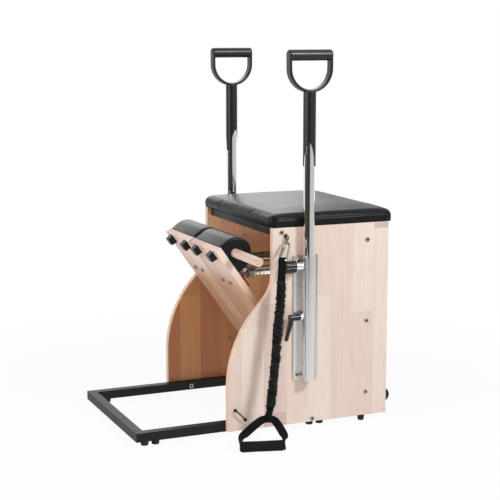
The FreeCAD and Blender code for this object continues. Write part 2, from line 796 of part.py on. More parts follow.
def spring_eyes():
    """Eye bolts through the board, with a nut on its front face."""
    eyes = []
    for x in SPRING_XS:
        ring = Part.makeTorus(EYE_R, EYE_WIRE_R, Vec(x, EYE_FROM_TOP, EYE_H), X_AXIS)
        shank_end = Vec(x, EYE_FROM_TOP, EYE_H - EYE_R)
        shank = rod(Vec(x, EYE_FROM_TOP, -EYE_NUT_T - BOLT_TIP), shank_end, EYE_SHANK_R)
        collar_top = Vec(x, EYE_FROM_TOP, BOARD_T + EYE_COLLAR_T)
        collar = rod(Vec(x, EYE_FROM_TOP, BOARD_T), collar_top, EYE_COLLAR_R)
        nut = hex_bar(Vec(x, EYE_FROM_TOP, -EYE_NUT_T), Vec(x, EYE_FROM_TOP, 0), EYE_NUT_FLATS)
        eyes.append(on_pedal(ring.fuse([shank, collar, nut])))
    return Part.makeCompound(eyes)


def spring_clips():
    """Red clips that hang from the eyes along the board."""
    start = EYE_FROM_TOP + EYE_R - EYE_WIRE_R - CLIP_WIRE_R - FREE_GAP
    clips = []
    for x in SPRING_XS:
        ring = oval_ring(Vec(x, start, EYE_H), Y_AXIS, X_AXIS, CLIP_LENGTH, CLIP_WIDTH, CLIP_WIRE_R)
        clips.append(on_pedal(ring))
    return Part.makeCompound(clips)


def link_dowel():
    """Dowel through both pads, sticking out on the right."""
    axis = PEDAL_TOP + ALONG * DOWEL_FROM_TOP + OUTWARD * PAD_AXIS_H
    start = axis - X_AXIS * PEDAL_OUTER_X
    end = axis + X_AXIS * (PEDAL_OUTER_X + DOWEL_STICK_OUT)
    dowel = rod(start, end, DOWEL_R)
    return fillet(dowel, DOWEL_EDGE_R, lambda edge: edge.BoundBox.XLength < 1e-6)


# Springs, from the pedal eyes to the hooks on the back panel


def hook_screw_xs():
    """X of the screws that hold the hook plate."""
    outer = SPRING_XS[1] + HOOK_PLATE_MARGIN - HOOK_SCREW_INSET
    return (-outer, 0.0, outer)


def spring_hook_plate():
    """Steel bar on the back panel with an eye for each spring."""
    half = SPRING_XS[1] + HOOK_PLATE_MARGIN
    low, high = HOOK_CENTRE.z - HOOK_PLATE_H / 2, HOOK_CENTRE.z + HOOK_PLATE_H / 2
    plate = block((-half, half), (BACK_FRONT - HOOK_PLATE_T, BACK_FRONT), (low, high))
    plate = fillet(plate, HOOK_PLATE_CORNER_R, lambda edge: edge.BoundBox.YLength > HOOK_PLATE_T - 1e-6)
    for x in hook_screw_xs():
        start = Vec(x, BACK_FRONT - HOOK_PLATE_T - CUT_PAST, HOOK_CENTRE.z)
        end = Vec(x, BACK_FRONT + CUT_PAST, HOOK_CENTRE.z)
        plate = plate.cut(rod(start, end, HOOK_SCREW_R + BOLT_GAP))
    for x in (*SPRING_XS, *(-x for x in SPRING_XS)):
        centre = HOOK_CENTRE + X_AXIS * x
        ring = Part.makeTorus(EYE_R, EYE_WIRE_R, centre, X_AXIS)
        neck = rod(centre + Y_AXIS * EYE_R, Vec(x, BACK_FRONT - HOOK_PLATE_T, centre.z), EYE_SHANK_R)
        plate = plate.fuse([ring, neck])
    return plate


def hook_plate_screws():
    """Screws through the hook plate into the back panel."""
    screws = []
    for x in hook_screw_xs():
        seat = Vec(x, BACK_FRONT - HOOK_PLATE_T, HOOK_CENTRE.z)
        tip = Vec(x, BACK_FRONT + HOOK_SCREW_LENGTH, HOOK_CENTRE.z)
        head = pan_head(seat, Y_AXIS * -1, HOOK_SCREW_HEAD_R, HOOK_SCREW_HEAD_T)
        screws.append(rod(seat, tip, HOOK_SCREW_R).fuse(head))
    return Part.makeCompound(screws)


def biarc(start, start_way, end, end_way):
    """Two tangent arcs that leave start along start_way and reach end along end_way."""
    run = end - start
    spread = 2 * (1 - start_way.dot(end_way))
    slope = 2 * run.dot(start_way + end_way)
    reach = (math.sqrt(slope * slope + 4 * spread * run.dot(run)) - slope) / (2 * spread)
    joint = (start + end + (start_way - end_way) * reach) * 0.5
    return [
        corner_arc(start, start + start_way * reach, joint),
        corner_arc(joint, end - end_way * reach, end),
    ]


def corner_arc(start, corner, end):
    """The arc that touches both legs of a corner with equal legs."""
    base = (start + end) * 0.5
    rise = corner - base
    half = (end - start).Length / 2
    radius = half * (corner - start).Length / rise.Length
    depth = radius - math.sqrt(radius * radius - half * half)
    return arc(start, base + rise.normalize() * depth, end)


def spring_path(length):
    """Looped ends and turns of one spring whose axis is Z, between eye centres at 0 and length."""
    low = COIL_START
    high = length - COIL_START
    pitch = (high - low) / COIL_TURNS
    lead = math.radians(COIL_LEAD)
    ways = []

    def loop(angle, base, sign):
        point = Vec(COIL_R * math.cos(angle), 0, base - sign * COIL_R * math.sin(angle))
        return point, Vec(-math.sin(angle), 0, -sign * math.cos(angle))

    front = low - COIL_NECK
    for angle in (200, 150, 90, 40, 0):
        point, way = loop(math.radians(angle), front, 1)
        ways.append((point, way * -1))
    half_turns = 2 * COIL_TURNS - 1
    for step in range(half_turns + 1):
        angle = lead + math.pi * step + step / half_turns * (math.pi - 2 * lead)
        height = low + pitch * (angle - lead) / (2 * math.pi)
        point = Vec(COIL_R * math.cos(angle), COIL_R * math.sin(angle), height)
        way = Vec(-COIL_R * math.sin(angle), COIL_R * math.cos(angle), pitch / (2 * math.pi))
        ways.append((point, way.normalize()))
    rear = high + COIL_NECK
    for angle in (0, 40, 90, 150, 200):
        ways.append(loop(math.radians(angle), rear, -1))
    edges = []
    for (start, start_way), (end, end_way) in zip(ways, ways[1:]):
        edges += biarc(start, start_way, end, end_way)
    return edges


def least_gap(edges, wire_r):
    """Least distance between the wire's own turns, measured on points along its path."""
    points = []
    travel = 0.0
    for edge in edges:
        for step in range(5):
            share = edge.FirstParameter + (edge.LastParameter - edge.FirstParameter) * step / 5
            points.append((travel + edge.Length * step / 5, edge.valueAt(share)))
        travel += edge.Length
    apart = 6 * wire_r + math.pi * wire_r
    least = travel
    for index, (here, point) in enumerate(points):
        for there, other in points[index + 1 :]:
            if there - here > apart:
                least = min(least, (other - point).Length)
    return least - 2 * wire_r


def pedal_springs():
    """The two springs of the right pedal, each one unbroken looped wire."""
    edges = spring_path(SPRING_SPAN.Length)
    print("spring: least gap between turns", round(least_gap(edges, COIL_WIRE_R), 2))
    wire = Part.Wire(edges)
    coil = sweep(wire, COIL_WIRE_R)
    section = math.pi * COIL_WIRE_R**2
    print("spring: volume over section times length", round(coil.Volume / (section * wire.Length), 4))
    along = Vec(SPRING_SPAN).normalize()
    springs = []
    for x in SPRING_XS:
        turn = FreeCAD.Rotation(X_AXIS, Vec(), along, "ZXY")
        spring = coil.copy()
        spring.Placement = FreeCAD.Placement(EYE_CENTRE + X_AXIS * x, turn)
        springs.append(spring)
    return Part.makeCompound(springs)


def spring_sleeves():
    """Short sleeves over the front turns of the springs."""
    along = Vec(SPRING_SPAN).normalize()
    bore = COIL_R + COIL_WIRE_R + FREE_GAP
    sleeves = []
    for x in SPRING_XS:
        start = EYE_CENTRE + X_AXIS * x + along * COIL_START
        end = start + along * SLEEVE_LENGTH
        sleeves.append(rod(start, end, bore + SLEEVE_WALL).cut(rod(start - along, end + along, bore)))
    return Part.makeCompound(sleeves)


# Poles, their sockets and clamps


def pole_socket():
    """Aluminium extrusion on the panel's outer face, bored for the pole."""
    span = (SOCKET_BOTTOM, SOCKET_TOP)
    flange_x = (HALF, HALF + FLANGE_T)
    lip_x = (HALF, HALF + FLANGE_T + FLANGE_LIP)
    low, high = POLE_Y - FLANGE_HALF, POLE_Y + FLANGE_HALF
    pole_foot = Vec(POLE_X, POLE_Y, SOCKET_BOTTOM)
    height = Z_AXIS * (SOCKET_TOP - SOCKET_BOTTOM)
    socket = block(flange_x, (low, high), span).fuse(
        [
            block(lip_x, (low, low + FLANGE_LIP_W), span),
            block(lip_x, (high - FLANGE_LIP_W, high), span),
            block((HALF, POLE_X), (POLE_Y - SOCKET_R, POLE_Y + SOCKET_R), span),
            rod(pole_foot, pole_foot + height, SOCKET_R),
        ]
    )
    socket = socket.removeSplitter()
    socket = socket.cut(rod(pole_foot - Z_AXIS, pole_foot + height + Z_AXIS, POLE_R + RUNNING_GAP))
    for z in (KNOB_Z, LEVER_Z):
        start, end = Vec(POLE_X, SOCKET_FRONT - CUT_PAST, z), Vec(POLE_X, POLE_Y, z)
        socket = socket.cut(rod(start, end, CLAMP_SCREW_R + RUNNING_GAP))
    for y, z in flange_bolt_places():
        start, end = Vec(HALF - CUT_PAST, y, z), Vec(HALF + FLANGE_T + CUT_PAST, y, z)
        socket = socket.cut(rod(start, end, FLANGE_BOLT_R + BOLT_GAP))
    return socket


def socket_bolts():
    """Bolts through the socket flanges and the panels."""
    seat = HALF + FLANGE_T
    tip = INNER - NUT_T - BOLT_TIP
    bolts = [side_bolt(y, z, seat, tip, FLANGE_BOLT_R, FLANGE_BOLT_HEAD_R) for y, z in flange_bolt_places()]
    return both_sides(bolts)


def pole():
    """Chrome tube that slides in the socket."""
    start = Vec(POLE_X, POLE_Y, POLE_BOTTOM)
    end = Vec(POLE_X, POLE_Y, POLE_TOP)
    return rod(start, end, POLE_R).cut(rod(start - Z_AXIS, end + Z_AXIS, POLE_R - POLE_WALL))


def pole_grip():
    """Moulded D-grip with a sleeve over the pole, notched at its lower end."""

    def arch(radius):
        left, right = Vec(0, -radius, GRIP_BAR_Z), Vec(0, radius, GRIP_BAR_Z)
        left_bend, right_bend = Vec(0, -radius, GRIP_BEND_Z), Vec(0, radius, GRIP_BEND_Z)
        outline = Part.Wire(
            [
                line(right, left),
                line(left, left_bend),
                arc(left_bend, Vec(0, 0, GRIP_BEND_Z - radius), right_bend),
                line(right_bend, right),
            ]
        )
        return Part.Face(outline).extrude(X_AXIS * GRIP_DEPTH)

    arms = arch(GRIP_HALF).cut(arch(GRIP_HALF - GRIP_ARM_T))
    arms.translate(X_AXIS * (-GRIP_DEPTH / 2))
    arms = fillet(
        arms,
        GRIP_EDGE_R,
        lambda edge: edge.BoundBox.XLength < 1e-6 and edge.BoundBox.ZMin < GRIP_BAR_Z - CUT_PAST,
    )
    bar_start = Vec(0, -GRIP_HALF, GRIP_BAR_Z)
    bar = rod(bar_start, bar_start + Y_AXIS * (2 * GRIP_HALF), GRIP_BAR_R)
    bar = fillet(bar, GRIP_BAR_EDGE_R, lambda edge: edge.BoundBox.YLength < 1e-6)
    sleeve = rod(Vec(0, 0, GRIP_SLEEVE_BOTTOM), Vec(0, 0, GRIP_SLEEVE_TOP), GRIP_SLEEVE_R)
    sleeve = fillet(sleeve, GRIP_SLEEVE_EDGE_R, lambda edge: edge.BoundBox.ZMin > GRIP_SLEEVE_TOP - 1e-6)
    turn = math.radians(GRIP_NOTCH_TURN)
    sleeve = sleeve.cut(grip_notch(Vec(math.cos(turn), -math.sin(turn), 0)))
    grip = arms.fuse([bar, sleeve])
    bore = rod(Vec(0, 0, GRIP_SLEEVE_BOTTOM - CUT_PAST), Vec(0, 0, POLE_TOP), POLE_R + RUNNING_GAP)
    grip = grip.cut(bore)
    grip.translate(Vec(POLE_X, POLE_Y, 0))
    return grip


def grip_notch(axis):
    """Arched cutter across the lower end of the grip's sleeve."""
    across = Z_AXIS.cross(axis)
    reach = 2 * GRIP_SLEEVE_R
    foot = Vec(0, 0, GRIP_SLEEVE_BOTTOM) - axis * reach
    side = across * (GRIP_SLEEVE_R - GRIP_NOTCH_SIDE)
    ellipse = Part.Ellipse(foot + Z_AXIS * GRIP_NOTCH_H, foot + side, foot)
    return Part.Face(Part.Wire(ellipse.toShape())).extrude(axis * (2 * reach))


def knob_boss():
    """Chrome collar on the socket for the clamp knob's screw."""
    return clamp_boss(KNOB_Z, KNOB_BOSS_R, KNOB_BOSS_LENGTH)


def lever_boss():
    """Chrome collar on the socket for the clamp lever's screw."""
    return clamp_boss(LEVER_Z, LEVER_BOSS_R, LEVER_BOSS_LENGTH)


def clamp_boss(z, radius, length):
    """A collar on the front of the socket around a clamp screw."""
    seat = Vec(POLE_X, SOCKET_FRONT, z)
    body = rod(seat - Y_AXIS * length, seat, radius)
    body = fillet(body, BOSS_EDGE_R, lambda edge: edge.BoundBox.YMax < SOCKET_FRONT - length + 1e-6)
    start, end = seat - Y_AXIS * (length + CUT_PAST), seat + Y_AXIS * CUT_PAST
    return body.cut(rod(start, end, CLAMP_SCREW_R + RUNNING_GAP))


def clamp_screw(z, boss_length):
    """Steel screw from inside the knob or lever to the pole."""
    seat = Vec(POLE_X, SOCKET_FRONT, z)
    start = seat - Y_AXIS * (boss_length + FREE_GAP + CLAMP_SCREW_HOLD)
    end = Vec(POLE_X, POLE_Y - POLE_R - FREE_GAP, z)
    return rod(start, end, CLAMP_SCREW_R)


def knob_screw():
    """Screw of the clamp knob."""
    return clamp_screw(KNOB_Z, KNOB_BOSS_LENGTH)


def lever_screw():
    """Screw of the clamp lever."""
    return clamp_screw(LEVER_Z, LEVER_BOSS_LENGTH)


def clamp_knob():
    """Fluted knob around the head of its screw."""
    rear = Vec(POLE_X, SOCKET_FRONT - KNOB_BOSS_LENGTH - FREE_GAP, KNOB_Z)
    front = rear - Y_AXIS * KNOB_LENGTH
    knob = rod(front, rear, KNOB_R)
    knob = fillet(knob, KNOB_EDGE_R, lambda edge: edge.BoundBox.YLength < 1e-6)
    for step in range(KNOB_FLUTES):
        angle = 2 * math.pi * step / KNOB_FLUTES
        offset = Vec(math.cos(angle), 0, math.sin(angle)) * (KNOB_R + KNOB_FLUTE_R - KNOB_FLUTE_DEPTH)
        knob = knob.cut(rod(front + offset - Y_AXIS, rear + offset + Y_AXIS, KNOB_FLUTE_R))
    return knob.cut(knob_screw())


def clamp_lever():
    """Lever with a round hub, its arm hanging at rest."""
    rear = Vec(POLE_X, SOCKET_FRONT - LEVER_BOSS_LENGTH - FREE_GAP, LEVER_Z)
    front = rear - Y_AXIS * LEVER_HUB_LENGTH
    hub = rod(front, rear, LEVER_HUB_R)
    hub = fillet(hub, LEVER_HUB_EDGE_R, lambda edge: edge.BoundBox.YLength < 1e-6)
    root = front + Y_AXIS * LEVER_ROOT_INSET
    tip = root - Z_AXIS * LEVER_ARM - Y_AXIS * LEVER_LEAN
    way = Vec(tip - root).normalize()
    arm = Part.makeCone(LEVER_ROOT_R, LEVER_TIP_R, (tip - root).Length, root, way)
    end = Part.makeSphere(LEVER_TIP_R, tip)
    return hub.fuse([arm, end]).cut(lever_screw())


# Transport wheels


def wheel_bracket():
    """Fork on the back panel's rear face."""
    span = (WHEEL_Z - BRACKET_HALF_H, WHEEL_Z + BRACKET_HALF_H)
    bracket = block((FORK_INNER, INNER), (BACK_REAR, BACK_REAR + BRACKET_T), span)
    centre = Vec(0, WHEEL_Y, WHEEL_Z)
    for low_x in (FORK_INNER, INNER - BRACKET_T):
        shift = X_AXIS * low_x
        upper = Vec(0, BACK_REAR, WHEEL_Z + BRACKET_HALF_H) + shift
        lower = Vec(0, BACK_REAR, WHEEL_Z - BRACKET_HALF_H) + shift
        nose_top = centre + Z_AXIS * BRACKET_NOSE_R + shift
        nose = centre + Y_AXIS * BRACKET_NOSE_R + shift
        nose_low = centre - Z_AXIS * BRACKET_NOSE_R + shift
        outline = Part.Wire(
            [
                line(lower, upper),
                line(upper, nose_top),
                arc(nose_top, nose, nose_low),
                line(nose_low, lower),
            ]
        )
        bracket = bracket.fuse(Part.Face(outline).extrude(X_AXIS * BRACKET_T))
    start, end = centre + X_AXIS * (FORK_INNER - CUT_PAST), centre + X_AXIS * (INNER + CUT_PAST)
    pin_hole = rod(start, end, WHEEL_AXLE_R + RUNNING_GAP)
    return bracket.removeSplitter().cut(pin_hole)


def wheel_axle():
    """Headed pin through the fork."""
    centre = Vec(0, WHEEL_Y, WHEEL_Z)
    seat = centre + X_AXIS * FORK_INNER
    head = pan_head(seat, X_AXIS * -1, WHEEL_AXLE_HEAD_R, WHEEL_AXLE_HEAD_T)
    return rod(seat, centre + X_AXIS * INNER, WHEEL_AXLE_R).fuse(head)


def wheel():
    """Solid rubber wheel with rounded shoulders."""
    centre = Vec(WHEEL_X, WHEEL_Y, WHEEL_Z)
    half = X_AXIS * (WHEEL_W / 2)
    tyre = rod(centre - half, centre + half, WHEEL_R)
    tyre = fillet(tyre, WHEEL_EDGE_R, lambda edge: edge.BoundBox.XLength < 1e-6)
    return tyre.cut(rod(centre - half * 2, centre + half * 2, WHEEL_AXLE_R + RUNNING_GAP))


# Strap hardware


def strap_eye():
    """Ring on a stud, flat against the panel's outer face."""
    stud = Vec(HALF, STRAP_EYE_Y, STRAP_EYE_Z)
    base = rod(stud, stud + X_AXIS * STRAP_EYE_BASE_T, STRAP_EYE_BASE_R)
    neck = rod(stud, Vec(STRAP_EYE_X, STRAP_EYE_Y, STRAP_EYE_Z), STRAP_EYE_NECK_R)
    ring = Part.makeTorus(STRAP_EYE_R, STRAP_EYE_WIRE_R, strap_ring_centre(), X_AXIS)
    return base.fuse([neck, ring])


def strap_ring_centre():
    """Centre of the ring that the strap's link hangs from."""
    return Vec(STRAP_EYE_X, STRAP_EYE_Y, STRAP_EYE_Z - STRAP_EYE_R)


def strap_anchor():
    """Bent wire low on the panel, with a base at each end."""
    (y_a, z_a), (y_b, z_b) = ANCHOR_ENDS
    out = X_AXIS * ANCHOR_OUT
    foot_a, foot_b = Vec(HALF, TOE_Y + y_a, z_a), Vec(HALF, TOE_Y + y_b, z_b)
    way = Vec(foot_b - foot_a).normalize()
    bend = ANCHOR_BEND_R
    slack = bend * (1 - math.sqrt(0.5))
    knee_a, knee_b = foot_a + out, foot_b + out
    path = Part.Wire(
        [
            line(foot_a, knee_a - X_AXIS * bend),
            arc(knee_a - X_AXIS * bend, knee_a + way * slack - X_AXIS * slack, knee_a + way * bend),
            line(knee_a + way * bend, knee_b - way * bend),
            arc(knee_b - way * bend, knee_b - way * slack - X_AXIS * slack, knee_b - X_AXIS * bend),
            line(knee_b - X_AXIS * bend, foot_b),
        ]
    )
    bases = [rod(end, end + X_AXIS * ANCHOR_BASE_T, ANCHOR_BASE_R) for end in (foot_a, foot_b)]
    return sweep(path, ANCHOR_WIRE_R).fuse(bases)


def strap_link():
    """Small link through the strap eye's ring."""
    ring_low = strap_ring_centre() - Z_AXIS * STRAP_EYE_R
    start = ring_low + Z_AXIS * (STRAP_EYE_WIRE_R + LINK_WIRE_R + FREE_GAP)
    return oval_ring(start, Z_AXIS * -1, X_AXIS, LINK_LENGTH, LINK_WIDTH, LINK_WIRE_R)


def snap_start():
    """Where the snap hook's wire passes through the link."""
    ring_low = strap_ring_centre() - Z_AXIS * STRAP_EYE_R
    link_end = ring_low + Z_AXIS * (STRAP_EYE_WIRE_R + LINK_WIRE_R + FREE_GAP - LINK_LENGTH)
    return link_end + Z_AXIS * (LINK_WIRE_R + SNAP_WIRE_R + LINK_PLAY)


def snap_axes(end):
    """Directions along the snap hook and across it."""
    way = Vec(end - snap_start()).normalize()
    return way, (Y_AXIS - way * Y_AXIS.dot(way)).normalize()


def strap_snap(end):
    """Spring-gate clip between the link and the strap's webbing loop."""
    start = snap_start()
    way, across = snap_axes(end)
    return oval_ring(start, way, across, (end - start).Length, SNAP_WIDTH, SNAP_WIRE_R)


def square_gap(way, across, width, thickness, face_way):
    """How far short of a slanting face a strip ends so that its corners clear it."""
    across = Vec(across).normalize()
    through = way.cross(across)
    corner = width / 2 * abs(across.dot(face_way)) + thickness / 2 * abs(through.dot(face_way))
    return (corner + FREE_GAP) / abs(way.dot(face_way))


def strap_webbing(snap_end, route):
    """Flat loop of webbing between the clip and the sleeve."""
    way = Vec(route[0] - snap_end).normalize()
    snap_way, snap_across = snap_axes(snap_end)
    facing = way.dot(snap_way)
    lean = SNAP_WIDTH / 2 * (math.hypot(facing, way.dot(snap_across)) - facing)
    start = snap_end + way * (SNAP_WIRE_R + FREE_GAP + lean)
    across = Y_AXIS - way * Y_AXIS.dot(way)
    sleeve_way = Vec(route[1] - route[0]).normalize()
    end = route[0] - way * square_gap(way, across, WEBBING_W, WEBBING_T, sleeve_way)
    return strip(start, end, across, WEBBING_W, WEBBING_T)


def strap_sleeve(side, route):
    """Gathered sleeve over the elastic, hanging along its route."""
    path, radii = tangent_path(route)
    sleeve = sweep(path, CORD_SLEEVE_R)
    section = math.pi * CORD_SLEEVE_R**2
    print(side, "strap: bend radii", [round(radius) for radius in radii])
    print(side, "strap: volume over section times length", round(sleeve.Volume / (section * path.Length), 4))
    return sleeve


def handle_axis(yaw):
    """Axis of a handle that lies on the floor."""
    return Vec(math.sin(math.radians(yaw)), math.cos(math.radians(yaw)), 0)


def strap_handle(centre, axis):
    """Foam bar of the handle."""
    half = axis * (HANDLE_LENGTH / 2)
    bar = rod(centre - half, centre + half, HANDLE_R)
    return fillet(bar, HANDLE_EDGE_R, lambda edge: edge.Length > math.pi * HANDLE_R)


def handle_webbing(route, apex, centre, axis):
    """Neck, two legs and two end tabs of the handle's webbing."""
    side_way = axis.cross(Z_AXIS)
    neck_way = Vec(apex - route[-1]).normalize()
    neck_across = axis - neck_way * axis.dot(neck_way)
    sleeve_way = Vec(route[-1] - route[-2]).normalize()
    neck_start = route[-1] + neck_way * square_gap(neck_way, neck_across, NECK_W, LEG_T, sleeve_way)
    pieces = [strip(neck_start, apex + neck_way * LEG_T, neck_across, NECK_W, LEG_T)]
    for sign in (-1, 1):
        end = centre + axis * (sign * (HANDLE_LENGTH / 2 + LEG_T / 2))
        fold = Vec(end.x, end.y, HANDLE_FOLD_Z)
        top = apex + axis * (sign * HANDLE_APEX_HALF)
        way = Vec(fold - top).normalize()
        plane = way.cross(axis).normalize()
        pieces.append(strip(top - way * LEG_T, fold + way * LEG_T, plane.cross(way), LEG_W, LEG_T))
        pieces.append(strip(fold + Z_AXIS * LEG_T, Vec(end.x, end.y, LEG_T), side_way, LEG_W, LEG_T))
    bridge = strip(
        apex - axis * (HANDLE_APEX_HALF + LEG_T),
        apex + axis * (HANDLE_APEX_HALF + LEG_T),
        Z_AXIS,
        LEG_W,
        LEG_T,
    )
    return bridge.fuse(pieces)


def right_parts():
    """Pieces that each side of the chair has, as the right side's."""
    return {
        "side_panel": side_panel(),
        "pedal_board": pedal_board(),
        "pedal_pad": pedal_pad(),
        "pedal_bumpers": pedal_bumpers(),
        "pedal_hinge": pedal_hinge(),
        "spring_eyes": spring_eyes(),
        "spring_clips": spring_clips(),
        "springs": pedal_springs(),
        "spring_sleeves": spring_sleeves(),
        "pole_socket": pole_socket(),
        "pole": pole(),
        "pole_grip": pole_grip(),
        "knob_screw": knob_screw(),
        "clamp_knob": clamp_knob(),
        "lever_screw": lever_screw(),
        "clamp_lever": clamp_lever(),
        "transport_wheel": wheel(),
    }


class Strap:
    """One strap's places, on the right side's coordinates."""

    def __init__(self, side, snap_end, route, apex, handle, yaw):
        hang = Vec(HALF, STRAP_EYE_Y, 0)
        self.side = side
        self.snap_end = hang + Vec(*snap_end)
        self.route = [hang + Vec(*point) for point in route]
        self.apex = hang + Vec(*apex)
        self.handle = hang + Vec(*handle, HANDLE_R)
        self.handle_axis = handle_axis(yaw)

    def onto_side(self, shape):
        """The piece on the side that the strap hangs on."""
        return shape if self.side == "right" else mirrored(shape)

    def hardware(self):
        """Link and snap hook."""
        return [self.onto_side(strap_link()), self.onto_side(strap_snap(self.snap_end))]

    def webbing(self):
        """Loop at the snap hook, and neck, legs and tabs of the handle."""
        loop = strap_webbing(self.snap_end, self.route)
        legs = handle_webbing(self.route, self.apex, self.handle, self.handle_axis)
        return self.onto_side(Part.makeCompound([loop, legs]))

    def sleeve(self):
        """Gathered sleeve between the two."""
        return self.onto_side(strap_sleeve(self.side, self.route))

    def foam(self):
        """Foam bar of the handle."""
        return self.onto_side(strap_handle(self.handle, self.handle_axis))


def strap_parts():
    """Pieces of both straps."""
    right = Strap("right", RIGHT_SNAP_END, RIGHT_ROUTE, RIGHT_APEX, RIGHT_HANDLE, RIGHT_HANDLE_YAW)
    left = Strap("left", LEFT_SNAP_END, LEFT_ROUTE, LEFT_APEX, LEFT_HANDLE, LEFT_HANDLE_YAW)
    return {
        "strap_clips": Part.makeCompound([*right.hardware(), *left.hardware()]),
        "right_strap_webbing": right.webbing(),
        "left_strap_webbing": left.webbing(),
        "right_strap_sleeve": right.sleeve(),
        "left_strap_sleeve": left.sleeve(),
        "strap_handles": Part.makeCompound([right.foam(), left.foam()]),
    }


def shared_parts():
    """Pieces of the whole chair, and small hardware grouped by kind."""
    return {
        "back_panel": back_panel(),
        "seat_rail": seat_rail(),
        "seat_board": seat_board(),
        "seat_cushion": seat_cushion(),
        "panel_bolts": panel_bolts(),
        "floor_frame": floor_frame(),
        "frame_end_caps": frame_end_caps(),
        "rubber_feet": rubber_feet(),
        "nuts": nuts(),
        "pedal_axle": pedal_axle(),
        "axle_spacers": axle_spacers(),
        "link_dowel": link_dowel(),
        "spring_hook_plate": spring_hook_plate(),
        "hook_plate_screws": hook_plate_screws(),
        "socket_bolts": socket_bolts(),
        "clamp_bosses": both_sides([knob_boss(), lever_boss()]),
        "wheel_forks": both_sides([wheel_bracket(), wheel_axle()]),
        "strap_eyes": both_sides([strap_eye()]),
        "strap_anchors": both_sides([strap_anchor()]),
    }


def main():
    """Build every piece and write one file for each."""
    nodes = shared_parts()
    for name, shape in right_parts().items():
        nodes["right_" + name] = shape
        nodes["left_" + name] = mirrored(shape)
    nodes.update(strap_parts())
    os.makedirs("parts", exist_ok=True)
    for name, shape in nodes.items():
        if not shape.isValid():
            raise ValueError(name + " is not a valid shape")
        shape.exportStep("parts/" + name + ".step")
    travel = math.radians(PEDAL_TILT)
    low_h = BOARD_T / 2 + BUMPER_H
    reach = PEDAL_LENGTH - BUMPER_FROM_TOP - BUMPER_SIZE / 2
    landing = math.asin((FRAME_TOP - FRAME_Z + FREE_GAP) / math.hypot(reach, low_h)) + math.atan2(low_h, reach)
    print("pedal travel to the frame, degrees", round(math.degrees(travel - landing), 3))
    print("eye centre", EYE_CENTRE, "hook centre", HOOK_CENTRE)
    print("nodes", len(nodes))


main()
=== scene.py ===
"""Looks of the pilates chair: finishes, upholstery, springs, straps, fasteners, camera and studio."""

from __future__ import annotations

import json
import logging
import math
from dataclasses import dataclass
from enum import Enum
from typing import Callable, Iterable, Mapping, Sequence

import bmesh
import bpy
from mathutils import Matrix, Vector, noise

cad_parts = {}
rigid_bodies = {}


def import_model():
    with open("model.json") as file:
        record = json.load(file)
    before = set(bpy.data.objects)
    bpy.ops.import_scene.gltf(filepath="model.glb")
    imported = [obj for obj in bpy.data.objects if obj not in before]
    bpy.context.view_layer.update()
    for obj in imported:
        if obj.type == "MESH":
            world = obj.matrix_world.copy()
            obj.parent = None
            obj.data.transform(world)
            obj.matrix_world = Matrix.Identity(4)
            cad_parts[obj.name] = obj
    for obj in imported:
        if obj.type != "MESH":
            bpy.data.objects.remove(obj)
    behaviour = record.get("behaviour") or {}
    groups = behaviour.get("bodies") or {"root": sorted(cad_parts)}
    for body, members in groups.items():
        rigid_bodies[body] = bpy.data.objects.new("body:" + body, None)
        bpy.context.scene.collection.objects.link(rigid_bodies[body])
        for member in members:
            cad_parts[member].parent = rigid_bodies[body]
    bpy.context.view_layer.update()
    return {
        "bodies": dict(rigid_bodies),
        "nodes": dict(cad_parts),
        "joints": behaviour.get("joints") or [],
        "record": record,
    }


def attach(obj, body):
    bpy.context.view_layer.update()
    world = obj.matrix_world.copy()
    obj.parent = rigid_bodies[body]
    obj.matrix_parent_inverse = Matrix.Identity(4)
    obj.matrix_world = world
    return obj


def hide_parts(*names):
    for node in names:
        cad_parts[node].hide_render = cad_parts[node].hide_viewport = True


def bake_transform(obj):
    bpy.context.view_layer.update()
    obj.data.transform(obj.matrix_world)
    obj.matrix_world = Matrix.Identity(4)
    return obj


LOG = logging.getLogger("pilates_chair")

Colour = tuple[float, float, float]
Point = tuple[float, float, float]
RECESS_SHADE = "recess"
RIBBON_EDGE = ((-1, -0.4), (-0.95, -1), (0, -1), (0.95, -1), (1, -0.4))

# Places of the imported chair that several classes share, in metres
PANEL_OUT = 0.254
PANEL_IN = 0.235
PEDAL_TILT = math.radians(54.59)
PEDAL_ALONG = Vector((0, math.cos(PEDAL_TILT), -math.sin(PEDAL_TILT)))
PEDAL_UP = Vector((0, math.sin(PEDAL_TILT), math.cos(PEDAL_TILT)))
PEDAL_AXLE = Vector((0, 0.215, 0.025))
BOARD_REACH = 0.6055
BOARD_T = 0.019
PEDAL_TOP = PEDAL_AXLE - PEDAL_ALONG * BOARD_REACH - PEDAL_UP * (BOARD_T / 2)
DOWEL_ALONG = 0.042
DOWEL_RISE = 0.045


class Side(Enum):
    """The two sides of the chair, with the sign of their X."""

    RIGHT = 1
    LEFT = -1

    @property
    def word(self) -> str:
        """The side's name in node and body names."""
        return self.name.lower()


class Run(Enum):
    """Which way the staves of a wooden piece lie side by side."""

    ACROSS_X = 0
    ACROSS_Y = 1


# Shader expressions


